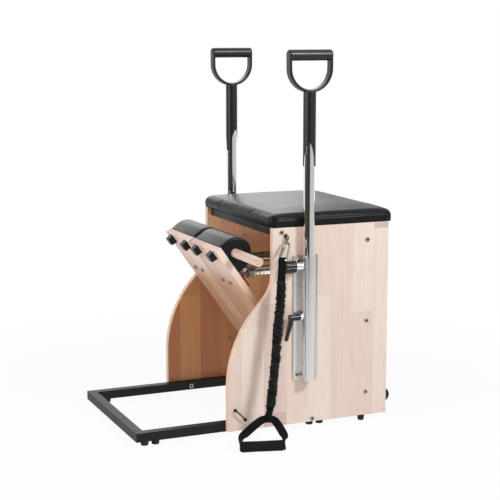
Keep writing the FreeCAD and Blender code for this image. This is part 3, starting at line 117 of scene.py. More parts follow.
class Val:
    """A shader socket that takes part in Python expressions."""

    def __init__(self, paint: Paint, socket: bpy.types.NodeSocket) -> None:
        """Keep the socket and the paint that it belongs to."""
        self.paint = paint
        self.socket = socket

    def _math(self, operation: str, first: Val | float, second: Val | float | None = None) -> Val:
        """Add a Math node.

        Args:
            operation: The Math node's operation.
            first: Its first value.
            second: Its second value, where it has one.

        Returns:
            The node's result.
        """
        values = {0: first} if second is None else {0: first, 1: second}
        return self.paint.node("ShaderNodeMath", {"operation": operation}, values)

    def __add__(self, other: Val | float) -> Val:
        """Sum."""
        return self._math("ADD", self, other)

    __radd__ = __add__

    def __sub__(self, other: Val | float) -> Val:
        """Difference."""
        return self._math("SUBTRACT", self, other)

    def __rsub__(self, other: float) -> Val:
        """Difference from a number."""
        return self._math("SUBTRACT", other, self)

    def __mul__(self, other: Val | float) -> Val:
        """Product."""
        return self._math("MULTIPLY", self, other)

    __rmul__ = __mul__

    def __truediv__(self, other: Val | float) -> Val:
        """Quotient."""
        return self._math("DIVIDE", self, other)

    def __abs__(self) -> Val:
        """Absolute value."""
        return self._math("ABSOLUTE", self)

    def floor(self) -> Val:
        """Whole part."""
        return self._math("FLOOR", self)

    def fract(self) -> Val:
        """Part after the point."""
        return self._math("FRACT", self)

    def sin(self) -> Val:
        """Sine."""
        return self._math("SINE", self)

    def root(self) -> Val:
        """Square root."""
        return self._math("SQRT", self)

    def most(self, other: Val | float) -> Val:
        """The larger of two values."""
        return self._math("MAXIMUM", self, other)

    def ramp_up(self, low: float, high: float) -> Val:
        """Rise smoothly from 0 at low to 1 at high.

        Args:
            low: Value at which the result is 0.
            high: Value at which the result is 1; it may be the smaller one.

        Returns:
            The smooth step.
        """
        if low < high:
            settings = {"interpolation_type": "SMOOTHSTEP"}
            return self.paint.node("ShaderNodeMapRange", settings, {0: self, 1: low, 2: high})
        return 1 - self.ramp_up(high, low)


class Paint:
    """Node tree of one material or of the world."""

    def __init__(self, name: str, owner: bpy.types.Material | bpy.types.World | None = None) -> None:
        """Start an empty tree.

        Args:
            name: The material's name.
            owner: What the tree belongs to; a new material where none is given.
        """
        self.owner = owner or bpy.data.materials.new(name)
        self.owner.use_nodes = True
        self.tree = self.owner.node_tree
        self.tree.nodes.clear()

    def node(
        self,
        kind: str,
        settings: Mapping[str, object] | None = None,
        inputs: Mapping[str | int, object] | None = None,
        out: str | int = 0,
    ) -> Val:
        """Add a node.

        Args:
            kind: The node's type.
            settings: Its settings, set first; stops are a ramp's positions and colours.
            inputs: Values or links of its sockets, by name or number.
            out: The output that is returned.

        Returns:
            The wrapped output.
        """
        made = self.tree.nodes.new(kind)
        for key, value in (settings or {}).items():
            if key == "stops":
                self._set_stops(made.color_ramp, value)
            else:
                setattr(made, key, value)
        for key, value in (inputs or {}).items():
            if isinstance(value, Val):
                self.tree.links.new(value.socket, made.inputs[key])
            else:
                made.inputs[key].default_value = value
        return Val(self, made.outputs[out] if len(made.outputs) else made.inputs[0])

    @staticmethod
    def _set_stops(ramp: bpy.types.ColorRamp, stops: Sequence[tuple[float, Colour]]) -> None:
        """Give a ramp its stops.

        Args:
            ramp: The colour ramp.
            stops: Positions and colours, in order.
        """
        while len(ramp.elements) < len(stops):
            ramp.elements.new(1.0)
        for element, (place, colour) in zip(ramp.elements, stops):
            element.position = place
            element.color = (*colour, 1)

    def place(self, origin: Vector | None = None, turn: Point = (0, 0, 0)) -> Val:
        """Object coordinates, from an origin and in turned axes where they are given.

        Args:
            origin: Origin of the pattern.
            turn: Euler angles of the pattern's axes.

        Returns:
            The coordinates.
        """
        plain = self.node("ShaderNodeTexCoord", out="Object")
        if origin is None:
            return plain
        inputs = {"Vector": plain, "Location": tuple(origin), "Rotation": turn}
        return self.node("ShaderNodeMapping", {"vector_type": "TEXTURE"}, inputs)

    def split(self, vector: Val) -> tuple[Val, Val, Val]:
        """The three parts of a vector."""
        made = self.node("ShaderNodeSeparateXYZ", inputs={0: vector})
        outputs = made.socket.node.outputs
        return Val(self, outputs[0]), Val(self, outputs[1]), Val(self, outputs[2])

    def join(self, x: Val | float, y: Val | float, z: Val | float) -> Val:
        """A vector from three values."""
        return self.node("ShaderNodeCombineXYZ", inputs={0: x, 1: y, 2: z})

    def cloud(self, vector: Val, scale: float, detail: float = 2.0, rough: float = 0.5) -> Val:
        """Noise about 0.5.

        Args:
            vector: Coordinates.
            scale: Features per metre.
            detail: Finer layers.
            rough: Strength of the finer layers.

        Returns:
            The noise value.
        """
        inputs = {"Vector": vector, "Scale": scale, "Detail": detail, "Roughness": rough}
        return self.node("ShaderNodeTexNoise", {"noise_dimensions": "3D"}, inputs, "Fac")

    def cells(self, vector: Val, scale: float) -> Val:
        """Distance to the nearest of scattered points, in cells."""
        return self.node("ShaderNodeTexVoronoi", {}, {"Vector": vector, "Scale": scale}, "Distance")

    def chance(self, x: Val | float, y: Val | float) -> Val:
        """A random number from 0 to 1 for each pair of whole numbers."""
        settings = {"noise_dimensions": "2D"}
        return self.node("ShaderNodeTexWhiteNoise", settings, {"Vector": self.join(x, y, 0.0)}, "Value")

    def ramp(self, value: Val, stops: Sequence[tuple[float, Colour]]) -> Val:
        """A colour from a value."""
        return self.node("ShaderNodeValToRGB", {"stops": stops}, {0: value})

    def mix(self, factor: Val | float, low: Val | Colour, high: Val | Colour, blend: str = "MIX") -> Val:
        """Mix two colours.

        Args:
            factor: Share of the second colour.
            low: First colour.
            high: Second colour.
            blend: The Mix node's way of blending.

        Returns:
            The mixed colour.
        """
        pair = [value if isinstance(value, Val) else (*value, 1) for value in (low, high)]
        settings = {"data_type": "RGBA", "blend_type": blend}
        return self.node("ShaderNodeMix", settings, {0: factor, 6: pair[0], 7: pair[1]}, 2)

    def shade(self, colour: Val | Colour, factor: Val) -> Val:
        """Darken or lighten a colour by a value about 1."""
        grey = self.node("ShaderNodeCombineColor", {}, {0: factor, 1: factor, 2: factor})
        return self.mix(1.0, colour, grey, "MULTIPLY")

    def bump(self, height: Val, depth: float, strength: float = 1.0) -> Val:
        """A normal from heights.

        Args:
            height: Heights from 0 to 1.
            depth: Depth of a height of 1, in metres.
            strength: Strength of the bump.

        Returns:
            The normal.
        """
        inputs = {"Height": height, "Distance": depth, "Strength": strength}
        return self.node("ShaderNodeBump", {}, inputs, "Normal")

    def surface(self, values: Mapping[str, object]) -> bpy.types.Material:
        """Finish the material with one surface shader.

        Args:
            values: Values or links of the shader's sockets.

        Returns:
            The material.
        """
        shader = self.node("ShaderNodeBsdfPrincipled", {}, values, "BSDF")
        self.node("ShaderNodeOutputMaterial", {}, {"Surface": shader})
        return self.owner


# Finishes


@dataclass(frozen=True)
class StaveWood:
    """Edge-glued wood in finger-jointed staves, paler outside; the deeper tan on the inner faces is
    painted shade.
    """

    name: str
    run: Run
    stave: float = 0.068
    origin: Point | None = None
    turn: Point = (0, 0, 0)
    # inner_x and inner_y place the inner faces that get the deeper tan as painted shade
    inner_x: float | None = None
    inner_y: float | None = None
    end_x: float | None = None
    gap_x: float | None = None
    painted_shade_from: float | None = None
    edge_tone: Colour = (1.0, 0.92, 0.85)
    gap_shade_tone: Colour = (0.16, 0.085, 0.045)
    end_tone: Colour = (0.70, 0.47, 0.35)
    block_length: float = 0.2
    block_spread: float = 0.26
    glue_line: float = 0.0011
    glue_shade: float = 0.08
    relief: float = 0.0004
    blur: float = 0.0006
    arris: tuple[float, float] = (0.0004, 0.0012)
    gap_shade_blur: tuple[float, float] = (0.0016, 0.0006)
    painted_shade_reach: float = 0.11
    pith_off: float = 0.03
    shift: float = 0.31
    bright: float = 1.0
    tan_share: float = 0.0
    roughness: float = 0.46
    specular: float = 0.38
    coat: float = 0.08

    def material(self) -> bpy.types.Material:
        """Build the material.

        Returns:
            The wood.
        """
        paint = Paint(self.name)
        plain = paint.place()
        spot = paint.place(Vector(self.origin), self.turn) if self.origin else plain
        x, y, z = paint.split(spot)
        if self.origin:
            wide, deep, long = x, z, y
        elif self.run is Run.ACROSS_X:
            wide, deep, long = x, y, z
        else:
            wide, deep, long = y, x, z
        lane = wide * (1 / self.stave) + self.shift
        number = lane.floor()
        luck = paint.chance(number, 3.0)
        step = long / (luck * self.block_spread + self.block_length) + luck * 9
        block = step.floor()
        tint = paint.chance(number + 0.5, block + 0.5)
        grain = self._grain(paint, wide, deep, long, tint)
        pale = paint.ramp(
            tint,
            [
                (0.0, (0.80, 0.655, 0.585)),
                (0.3, (0.765, 0.605, 0.53)),
                (0.55, (0.83, 0.695, 0.62)),
                (0.8, (0.765, 0.61, 0.545)),
                (0.83, (0.665, 0.50, 0.455)),
                (1.0, (0.62, 0.45, 0.405)),
            ],
        )
        # Deeper tan: painted shade on inner faces and down the pedal boards, and the dowel's own tone
        tan_tone_and_shade = paint.ramp(
            tint,
            [
                (0.0, (0.55, 0.285, 0.145)),
                (0.35, (0.455, 0.212, 0.112)),
                (0.65, (0.61, 0.34, 0.165)),
                (0.85, (0.41, 0.175, 0.10)),
                (1.0, (0.50, 0.245, 0.125)),
            ],
        )
        # Down the pedal boards the share of deeper tan grows, painted shade toward their lower end
        colour = paint.mix(self._tan_tone_and_shade_share(long), pale, tan_tone_and_shade) if self.tan_share else pale
        if self.inner_x is not None:
            near, far = self.arris
            edge = abs(paint.split(plain)[0]).ramp_up(PANEL_OUT - near, PANEL_OUT - far)
            colour = paint.mix(edge, colour, paint.mix(1.0, colour, self.edge_tone, "MULTIPLY"))
        # Painted shade: the inner faces take the deeper tan in place of the shade that falls there
        inner = self._inner(paint, plain)
        if inner is not None:
            colour = paint.mix(inner, colour, tan_tone_and_shade)
        lane_gap = abs(lane.fract() - 0.5).ramp_up(0.5 - self.glue_line / self.stave, 0.5)
        block_gap = abs(step.fract() - 0.5).ramp_up(0.4965, 0.4995)
        line = lane_gap.most(block_gap)
        colour = paint.shade(colour, (grain * 0.17 + 0.915) * self.bright * (1 - line * self.glue_shade))
        # Painted shade: a dark brown stripe on the boards' inner side faces where they meet at the gap
        if self.gap_x is not None:
            far, near = self.gap_shade_blur
            gap_shade = abs(paint.split(plain)[0]).ramp_up(self.gap_x + far, self.gap_x + near)
            colour = paint.mix(gap_shade, colour, self.gap_shade_tone)
        colour = self._end_grain(paint, plain, colour)
        rough = grain * 0.16 + (self.roughness - 0.08)
        height = grain * 0.7 - line * 0.6
        return paint.surface(
            {
                "Base Color": colour,
                "Roughness": rough,
                "Normal": paint.bump(height, self.relief, 0.35),
                "Specular IOR Level": self.specular,
                "Coat Weight": self.coat,
                "Coat Roughness": 0.3,
            }
        )

    def _tan_tone_and_shade_share(self, long: Val) -> Val | float:
        """Share of the deeper tan: a fixed share is the wood's own tone, and where it grows along the
        piece it is painted shade.

        Args:
            long: Place along the staves.

        Returns:
            The share.
        """
        if self.painted_shade_from is None:
            return self.tan_share
        return long.ramp_up(self.painted_shade_from, self.painted_shade_from + self.painted_shade_reach) * self.tan_share

    @staticmethod
    def _grain(paint: Paint, wide: Val, deep: Val, long: Val, tint: Val) -> Val:
        """Streaks and pores along the staves.

        Args:
            paint: The paint that takes the nodes.
            wide: Place across the staves.
            deep: Place through the thickness.
            long: Place along the staves.
            tint: The block's random number.

        Returns:
            Grain from 0, dark, to 1.
        """
        drift = tint * 31
        broad = paint.cloud(paint.join(wide * 34 + drift, deep * 34, long * 2.2 + drift), 1.0, 3.0, 0.55)
        bands = ((broad * 46).sin() * 0.5 + 0.5) * 0.35
        fine = paint.cloud(paint.join(wide * 420 + drift, deep * 420, long * 16), 1.0, 2.0, 0.6)
        holes = paint.cloud(paint.join(wide * 900, deep * 900, long * 42 + drift), 1.0, 1.0, 0.5)
        pores = holes.ramp_up(0.66, 0.58)
        return bands + broad * 0.35 + fine * 0.3 + pores * 0.12 - 0.1

    def _inner(self, paint: Paint, plain: Val) -> Val | None:
        """Mask of the inner faces, which take the deeper tan as painted shade.

        Args:
            paint: The paint that takes the nodes.
            plain: Object coordinates.

        Returns:
            The mask, or nothing where the piece has no such face.
        """
        x, y, _ = paint.split(plain)
        if self.inner_x is not None:
            return abs(x).ramp_up(self.inner_x + self.blur, self.inner_x)
        if self.inner_y is not None:
            return y.ramp_up(self.inner_y + self.blur, self.inner_y)
        return None

    def _end_grain(self, paint: Paint, plain: Val, colour: Val) -> Val:
        """Growth rings on a round bar's end face.

        Args:
            paint: The paint that takes the nodes.
            plain: Object coordinates.
            colour: Colour of the bar.

        Returns:
            The colour with the rings on the end.
        """
        if self.end_x is None:
            return colour
        x, y, z = paint.split(plain)
        pith = PEDAL_TOP + PEDAL_ALONG * DOWEL_ALONG + PEDAL_UP * DOWEL_RISE
        pith.y += self.pith_off
        off = ((y - pith.y) * (y - pith.y) + (z - pith.z) * (z - pith.z)).root()
        rings = (off * 2600 + paint.cloud(plain, 300.0) * 4).sin() * 0.5 + 0.5
        speck = paint.cloud(plain, 1900.0, 2.0, 0.7)
        face = paint.shade(self.end_tone, rings * 0.16 + speck * 0.5 + 0.66)
        near, far = self.arris
        return paint.mix(abs(x).ramp_up(self.end_x - far, self.end_x - near), colour, face)


@dataclass(frozen=True)
class Leather:
    """Black upholstery leather with a pebbled grain."""

    name: str
    colour: Colour = (0.0085, 0.0083, 0.0092)
    roughness: float = 0.36
    pebble: float = 620.0
    specular: float = 0.42

    def material(self) -> bpy.types.Material:
        """Build the material."""
        paint = Paint(self.name)
        spot = paint.place()
        wander = paint.cloud(spot, 90.0, 3.0, 0.6)
        grain = paint.cells(spot, self.pebble) * 0.7 + paint.cloud(spot, 1500.0, 2.0) * 0.3
        creases = paint.cloud(spot, 22.0, 4.0, 0.62)
        colour = paint.shade(self.colour, wander * 0.5 + grain * 0.3 + 0.6)
        rough = wander * 0.14 + grain * 0.1 + (self.roughness - 0.12)
        normal = paint.bump(grain * 0.75 + creases * 0.9, 0.00022, 0.5)
        return paint.surface(
            {
                "Base Color": colour,
                "Roughness": rough,
                "Normal": normal,
                "Specular IOR Level": self.specular,
            }
        )


@dataclass(frozen=True)
class Speckled:
    """Coated, moulded or rubber surface with a fine even texture."""

    name: str
    colour: Colour
    roughness: float
    texture: float = 1500.0
    depth: float = 0.00006
    change: float = 0.35
    specular: float = 0.45
    metallic: float = 0.0

    def material(self) -> bpy.types.Material:
        """Build the material."""
        paint = Paint(self.name)
        spot = paint.place()
        peel = paint.cloud(spot, self.texture, 2.0, 0.6)
        haze = paint.cloud(spot, 26.0, 3.0, 0.6)
        colour = paint.shade(self.colour, haze * self.change + peel * 0.2 + (0.9 - self.change / 2))
        rough = haze * 0.16 + peel * 0.08 + (self.roughness - 0.12)
        normal = paint.bump(peel, self.depth, 0.6)
        return paint.surface(
            {
                "Base Color": colour,
                "Roughness": rough,
                "Normal": normal,
                "Specular IOR Level": self.specular,
                "Metallic": self.metallic,
            }
        )


@dataclass(frozen=True)
class BareMetal:
    """Plated or drawn metal with faint lines along Z and a little handling haze."""

    name: str
    colour: Colour
    roughness: float
    lines: float = 0.0
    haze: float = 0.05
    # Painted shade: faces marked as deep in a recess can take a near-black colour
    shade_recess: bool = False
    recess_shade_tone: Colour = (0.012, 0.011, 0.01)

    def material(self) -> bpy.types.Material:
        """Build the material."""
        paint = Paint(self.name)
        spot = paint.place()
        x, y, z = paint.split(spot)
        smear = paint.cloud(spot, 45.0, 3.0, 0.65)
        drawn = paint.cloud(paint.join(x * 1400, y * 1400, z * 9), 1.0, 2.0, 0.6)
        change = smear * 0.12 + drawn * (0.3 * self.lines) + (0.94 - 0.15 * self.lines)
        colour = paint.shade(self.colour, change)
        rough = smear * self.haze + drawn * (0.14 * self.lines) + (self.roughness - self.haze / 2)
        # Painted shade: faces deep in the cross recess turn near-black
        if self.shade_recess:
            recess_shade = paint.node("ShaderNodeAttribute", {"attribute_name": RECESS_SHADE}, out="Fac")
            colour = paint.mix(recess_shade, colour, self.recess_shade_tone)
        values = {"Base Color": colour, "Roughness": rough, "Metallic": 1.0}
        if self.lines:
            values["Normal"] = paint.bump(drawn, 0.00008, 0.4 * self.lines)
        return paint.surface(values)


@dataclass(frozen=True)
class Woven:
    """Woven strap cloth on the piece's own length and width coordinates."""

    name: str
    colour: Colour = (0.0028, 0.0028, 0.0031)
    rib: float = 0.0011
    cord: float = 0.0019
    roughness: float = 0.6
    specular: float = 0.1

    def material(self) -> bpy.types.Material:
        """Build the material."""
        paint = Paint(self.name)
        along, across, _ = paint.split(paint.node("ShaderNodeTexCoord", out="UV"))
        warp = (across * (2 * math.pi / self.cord)).sin() * 0.5 + 0.5
        weft = ((along + across * 0.5) * (2 * math.pi / self.rib)).sin() * 0.5 + 0.5
        fuzz = paint.cloud(paint.place(), 2400.0, 2.0, 0.6)
        weave = warp * 0.45 + weft * 0.45 + fuzz * 0.2
        colour = paint.shade(self.colour, weave * 0.7 + 0.6)
        return paint.surface(
            {
                "Base Color": colour,
                "Roughness": fuzz * 0.12 + (self.roughness - 0.06),
                "Normal": paint.bump(weave, 0.00025, 0.55),
                "Specular IOR Level": self.specular,
            }
        )


class Finishes:
    """All the finishes of the chair, built once."""

    def __init__(self) -> None:
        """Build each material."""
        lean = (-PEDAL_TILT, 0.0, 0.0)
        top = tuple(PEDAL_TOP)
        # The panels' inner faces get the deeper tan as painted shade
        self.panel = StaveWood("side_panel_wood", Run.ACROSS_Y, inner_x=PANEL_IN).material()
        self.back = StaveWood("back_panel_wood", Run.ACROSS_X, inner_y=0.2876, shift=0.12).material()
        self.board = StaveWood(
            "pedal_board_wood",
            Run.ACROSS_X,
            stave=0.101,
            origin=top,
            turn=lean,
            # The dark stripe at the gap between the two boards is painted shade
            gap_x=0.0015,
            # The boards turn to the deeper tan further down as painted shade
            painted_shade_from=0.06,
            shift=0.0,
            tan_share=0.68,
        ).material()
        self.dowel = StaveWood(
            "dowel_wood", Run.ACROSS_Y, stave=0.2, end_x=0.36, bright=0.98, tan_share=0.1
        ).material()
        self.leather = Leather("seat_leather", (0.006, 0.006, 0.0068), 0.37, specular=0.17).material()
        self.pad_leather = Leather(
            "pad_leather", (0.008, 0.008, 0.0085), 0.4, pebble=700.0, specular=0.2
        ).material()
        self.lining = Speckled(
            "seat_lining", (0.006, 0.006, 0.0065), 0.7, texture=1900.0, depth=0.00012, specular=0.15
        ).material()
        self.frame = Speckled(
            "frame_powder_coat",
            (0.006, 0.006, 0.0064),
            0.5,
            texture=1100.0,
            depth=0.00012,
            specular=0.28,
        ).material()
        self.rail = Speckled(
            "rail_powder_coat", (0.011, 0.012, 0.014), 0.46, texture=1100.0, depth=0.0001, specular=0.35
        ).material()
        self.rubber = Speckled(
            "foot_rubber", (0.018, 0.018, 0.018), 0.78, texture=900.0, depth=0.00008, specular=0.3
        ).material()
        self.bumper = Speckled(
            "bumper_rubber", (0.004, 0.004, 0.0043), 0.36, texture=900.0, depth=0.00004, specular=0.3
        ).material()
        self.plastic = Speckled(
            "moulded_black_plastic", (0.012, 0.012, 0.0125), 0.45, depth=0.00005
        ).material()
        self.grip = Speckled(
            "grip_plastic", (0.009, 0.009, 0.0105), 0.36, texture=900.0, depth=0.000008, change=0.2
        ).material()
        self.knob = Speckled(
            "knob_plastic", (0.005, 0.005, 0.0055), 0.26, depth=0.00002, specular=0.5
        ).material()
        self.red = Speckled(
            "red_clip_plastic", (0.27, 0.018, 0.024), 0.36, texture=700.0, depth=0.00003
        ).material()
        self.foam = Speckled(
            "handle_foam", (0.0075, 0.0075, 0.0078), 0.86, texture=1700.0, depth=0.0002, specular=0.2
        ).material()
        self.black_steel = Speckled(
            "blackened_steel", (0.03, 0.03, 0.032), 0.42, texture=1600.0, depth=0.00004, metallic=0.6
        ).material()
        self.bolt = BareMetal(
            "bolt_steel", (0.55, 0.52, 0.475), 0.3, haze=0.12, shade_recess=True
        ).material()
        self.chrome = BareMetal("polished_chrome", (0.86, 0.855, 0.85), 0.075, haze=0.03).material()
        self.aluminium = BareMetal(
            "drawn_aluminium", (0.71, 0.695, 0.675), 0.24, lines=0.25, haze=0.06
        ).material()
        self.zinc = BareMetal("zinc_plate", (0.43, 0.415, 0.39), 0.26, haze=0.12).material()
        self.spring = BareMetal("spring_steel", (0.40, 0.37, 0.31), 0.3, haze=0.1).material()
        self.clip = BareMetal("clip_chrome", (0.36, 0.335, 0.30), 0.16, haze=0.08).material()
        self.webbing = Woven("strap_webbing").material()
        self.sleeve = Woven(
            "gathered_sleeve_cloth",
            (0.0025, 0.0025, 0.0028),
            rib=0.0007,
            cord=0.0008,
            roughness=0.45,
            specular=0.18,
        ).material()


# Modelling


class Bench:
    """One mesh piece, modelled with Blender's own tools."""

    def __init__(self, piece: bpy.types.Object) -> None:
        """Take a piece on the bench."""
        self.piece = piece

    @staticmethod
    def clear() -> None:
        """Leave edit mode and deselect everything."""
        if bpy.context.object is not None and bpy.context.object.mode != "OBJECT":
            bpy.ops.object.mode_set(mode="OBJECT")
        bpy.ops.object.select_all(action="DESELECT")

    @classmethod
    def _new(cls, name: str) -> Bench:
        """Name the primitive that was just added."""
        piece = bpy.context.object
        piece.name = name
        piece.data.name = name
        return cls(piece)

    @classmethod
    def block(cls, name: str, low: Point, high: Point) -> Bench:
        """Add a box between two corners.

        Args:
            name: The piece's name.
            low: Lowest corner.
            high: Highest corner.

        Returns:
            The bench with the box.
        """
        cls.clear()
        middle = [(a + b) / 2 for a, b in zip(low, high)]
        bpy.ops.mesh.primitive_cube_add(size=1, location=middle)
        bench = cls._new(name)
        bench.piece.scale = [b - a for a, b in zip(low, high)]
        return bench.settle()

    @classmethod
    def drum(cls, name: str, radius: float, depth: float, sides: int = 32) -> Bench:
        """Add a cylinder that stands on the origin along Z.

        Args:
            name: The piece's name.
            radius: Its radius.
            depth: Its height.
            sides: Faces round it.

        Returns:
            The bench with the cylinder.
        """
        cls.clear()
        middle = (0, 0, depth / 2)
        bpy.ops.mesh.primitive_cylinder_add(vertices=sides, radius=radius, depth=depth, location=middle)
        return cls._new(name).settle()

    @classmethod
    def disc(cls, name: str, radius: float, sides: int) -> Bench:
        """Add a filled circle in the plane of Y and Z.

        Args:
            name: The piece's name.
            radius: Its radius.
            sides: Points round it.

        Returns:
            The bench with the circle.
        """
        cls.clear()
        turn = (0, math.pi / 2, 0)
        bpy.ops.mesh.primitive_circle_add(vertices=sides, radius=radius, fill_type="NGON", rotation=turn)
        return cls._new(name).settle()

    def settle(self) -> Bench:
        """Apply the piece's place, turn and scale to its mesh."""
        bpy.ops.object.transform_apply(location=True, rotation=True, scale=True)
        return self

    def take(self) -> Bench:
        """Make the piece the only selected and active one."""
        self.clear()
        self.piece.select_set(True)
        bpy.context.view_layer.objects.active = self.piece
        return self

    def edges(self, wanted: Callable[[Vector, Vector], bool]) -> Bench:
        """Open the piece with the edges selected whose two ends pass a test."""
        mesh = self._open("EDGE")
        for edge in mesh.edges:
            edge.select_set(wanted(edge.verts[0].co, edge.verts[1].co))
        return self._shown(mesh)

    def faces(self, wanted: Callable[[Vector, Vector], bool]) -> Bench:
        """Open the piece with the faces selected whose middle and normal pass a test."""
        mesh = self._open("FACE")
        for face in mesh.faces:
            face.select_set(wanted(face.calc_center_median(), face.normal))
        return self._shown(mesh)

    def all(self) -> Bench:
        """Open the piece with everything selected."""
        self.take()
        bpy.ops.object.mode_set(mode="EDIT")
        bpy.ops.mesh.select_all(action="SELECT")
        return self

    def _open(self, kind: str) -> bmesh.types.BMesh:
        """Enter edit mode with nothing selected.

        Args:
            kind: What is to be selected, EDGE or FACE.

        Returns:
            The mesh that is being edited.
        """
        self.take()
        bpy.ops.object.mode_set(mode="EDIT")
        bpy.ops.mesh.select_mode(type=kind)
        bpy.ops.mesh.select_all(action="DESELECT")
        mesh = bmesh.from_edit_mesh(self.piece.data)
        mesh.normal_update()
        return mesh

    def _shown(self, mesh: bmesh.types.BMesh) -> Bench:
        """Pass the selection on to the piece."""
        mesh.select_flush_mode()
        bmesh.update_edit_mesh(self.piece.data)
        return self

    def bevel(self, width: float, segments: int) -> Bench:
        """Round the selected edges."""
        bpy.ops.mesh.bevel(
            offset=width, segments=segments, profile=0.5, affect="EDGES", clamp_overlap=True
        )
        return self

    def inset(self, width: float, depth: float = 0.0) -> Bench:
        """Inset the selected faces."""
        bpy.ops.mesh.inset(thickness=width, depth=depth)
        return self

    def extrude(self, way: Vector) -> Bench:
        """Extrude the selected region."""
        bpy.ops.mesh.extrude_region_move(TRANSFORM_OT_translate={"value": tuple(way)})
        return self

    def straighten(self) -> Bench:
        """Dissolve the selected points that lie on a straight line."""
        bpy.ops.mesh.dissolve_limited(angle_limit=math.radians(1))
        return self

    def outward(self) -> Bench:
        """Turn all the faces outwards."""
        self.all()
        bpy.ops.mesh.normals_make_consistent(inside=False)
        return self

    def shift(self, move: Callable[[Vector], Vector]) -> Bench:
        """Move each point by a rule."""
        self.clear()
        for vertex in self.piece.data.vertices:
            vertex.co = move(vertex.co.copy())
        self.piece.data.update()
        return self

    def modify(self, kind: str, **settings: object) -> Bench:
        """Add a modifier and apply it.

        Args:
            kind: The modifier's type.
            settings: Its settings.

        Returns:
            The bench.
        """
        self.take()
        modifier = self.piece.modifiers.new(kind.lower(), kind)
        for key, value in settings.items():
            setattr(modifier, key, value)
        bpy.ops.object.modifier_apply(modifier=modifier.name)
        return self

    def cut(self, tool: Bench) -> Bench:
        """Cut another piece's shape out of this one, and remove that piece."""
        self.modify("BOOLEAN", operation="DIFFERENCE", solver="EXACT", object=tool.piece)
        bpy.data.objects.remove(tool.piece)
        return self

    def turned(self, place: Matrix) -> Bench:
        """Move the mesh itself to a place."""
        self.piece.data.transform(place)
        return self

    def copied(self, name: str, places: Iterable[Matrix]) -> bpy.types.Object:
        """Make one piece of copies of this one, each with its own mesh, and remove the pattern.

        Args:
            name: Name of the joined piece.
            places: Where each copy goes.

        Returns:
            The joined piece.
        """
        copies = []
        for place in places:
            mesh = self.piece.data.copy()
            mesh.transform(place)
            copy = bpy.data.objects.new(name, mesh)
            bpy.context.collection.objects.link(copy)
            copies.append(copy)
        bpy.data.objects.remove(self.piece)
        self.piece = joined(name, copies)
        return self.piece

    def smooth(self, degrees: float) -> Bench:
        """Shade smooth, with edges sharper than an angle kept."""
        self.take()
        bpy.ops.object.shade_smooth_by_angle(angle=math.radians(degrees))
        return self

    def done(self, finish: bpy.types.Material, body: str, slot: str) -> bpy.types.Object:
        """Dress the piece and let it ride.

        Args:
            finish: Its material.
            body: The body that it moves with.
            slot: The record's material slot; not used.

        Returns:
            The finished piece.
        """
        return dress(self.piece, finish, body)


def dress(
    piece: bpy.types.Object, finish: bpy.types.Material, body: str | None
) -> bpy.types.Object:
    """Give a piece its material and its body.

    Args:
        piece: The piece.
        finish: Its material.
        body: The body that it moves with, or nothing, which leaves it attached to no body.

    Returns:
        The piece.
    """
    piece.data.materials.clear()
    piece.data.materials.append(finish)
    if body is not None:
        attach(piece, body)
    LOG.info("%s: %d faces", piece.name, len(piece.data.polygons))
    return piece


def joined(name: str, pieces: Sequence[bpy.types.Object]) -> bpy.types.Object:
    """Make one piece of several.

    Args:
        name: Its name.
        pieces: The pieces, of which the first takes up the others.

    Returns:
        The joined piece.
    """
    Bench.clear()
    for piece in pieces:
        piece.select_set(True)
    bpy.context.view_layer.objects.active = pieces[0]
    bpy.ops.object.join()
    pieces[0].name = name
    return pieces[0]


def wire(name: str, points: Sequence[Vector], radius: float, ring: bool = False) -> bpy.types.Object:
    """A round wire through points.

    Args:
        name: The piece's name.
        points: The wire's centre points.
        radius: Its radius.
        ring: Whether its last point runs on into its first.

    Returns:
        The wire as a mesh piece.
    """
    curve = bpy.data.curves.new(name, "CURVE")
    curve.dimensions = "3D"
    curve.bevel_depth = radius
    curve.bevel_resolution = 2
    curve.use_fill_caps = True
    spline = curve.splines.new("POLY")
    spline.points.add(len(points) - 1)
    spline.use_cyclic_u = ring
    for place, point in zip(spline.points, points):
        place.co = (*point, 1)
    bent = bpy.data.objects.new(name, curve)
    bpy.context.collection.objects.link(bent)
    Bench(bent).take()
    bpy.ops.object.convert(target="MESH")
    return bpy.context.object


def skin(name: str, rings: Sequence[Sequence[Vector]]) -> bpy.types.Object:
    """A closed tube through rings of points, with its length and girth as UV in metres.

    Args:
        name: The piece's name.
        rings: Rings of the same number of points, in order along the tube.

    Returns:
        The piece.
    """
    count = len(rings[0])
    points = [point for ring in rings for point in ring]
    faces = []
    for row in range(len(rings) - 1):
        for k in range(count):
            after = (k + 1) % count
            here, above = row * count, (row + 1) * count
            faces.append((here + k, here + after, above + after, above + k))
    faces.append(tuple(range(count - 1, -1, -1)))
    faces.append(tuple((len(rings) - 1) * count + k for k in range(count)))
    mesh = bpy.data.meshes.new(name)
    mesh.from_pydata(points, [], faces)
    along = [0.0]
    for before, here in zip(rings, rings[1:]):
        middle = sum(before, Vector()) / count
        along.append(along[-1] + (sum(here, Vector()) / count - middle).length)
    belt = rings[len(rings) // 2]
    girth = [0.0]
    for k in range(count):
        girth.append(girth[-1] + (belt[(k + 1) % count] - belt[k]).length)
    layer = mesh.uv_layers.new(name="length_girth")
    for face in mesh.polygons[:-2]:
        row, k = divmod(face.index, count)
        corners = ((row, k), (row, k + 1), (row + 1, k + 1), (row + 1, k))
        for loop, (r, c) in zip(face.loop_indices, corners):
            layer.data[loop].uv = (along[r], girth[c])
    piece = bpy.data.objects.new(name, mesh)
    bpy.context.collection.objects.link(piece)
    bench = Bench(piece).outward()
    bench.clear()
    return piece


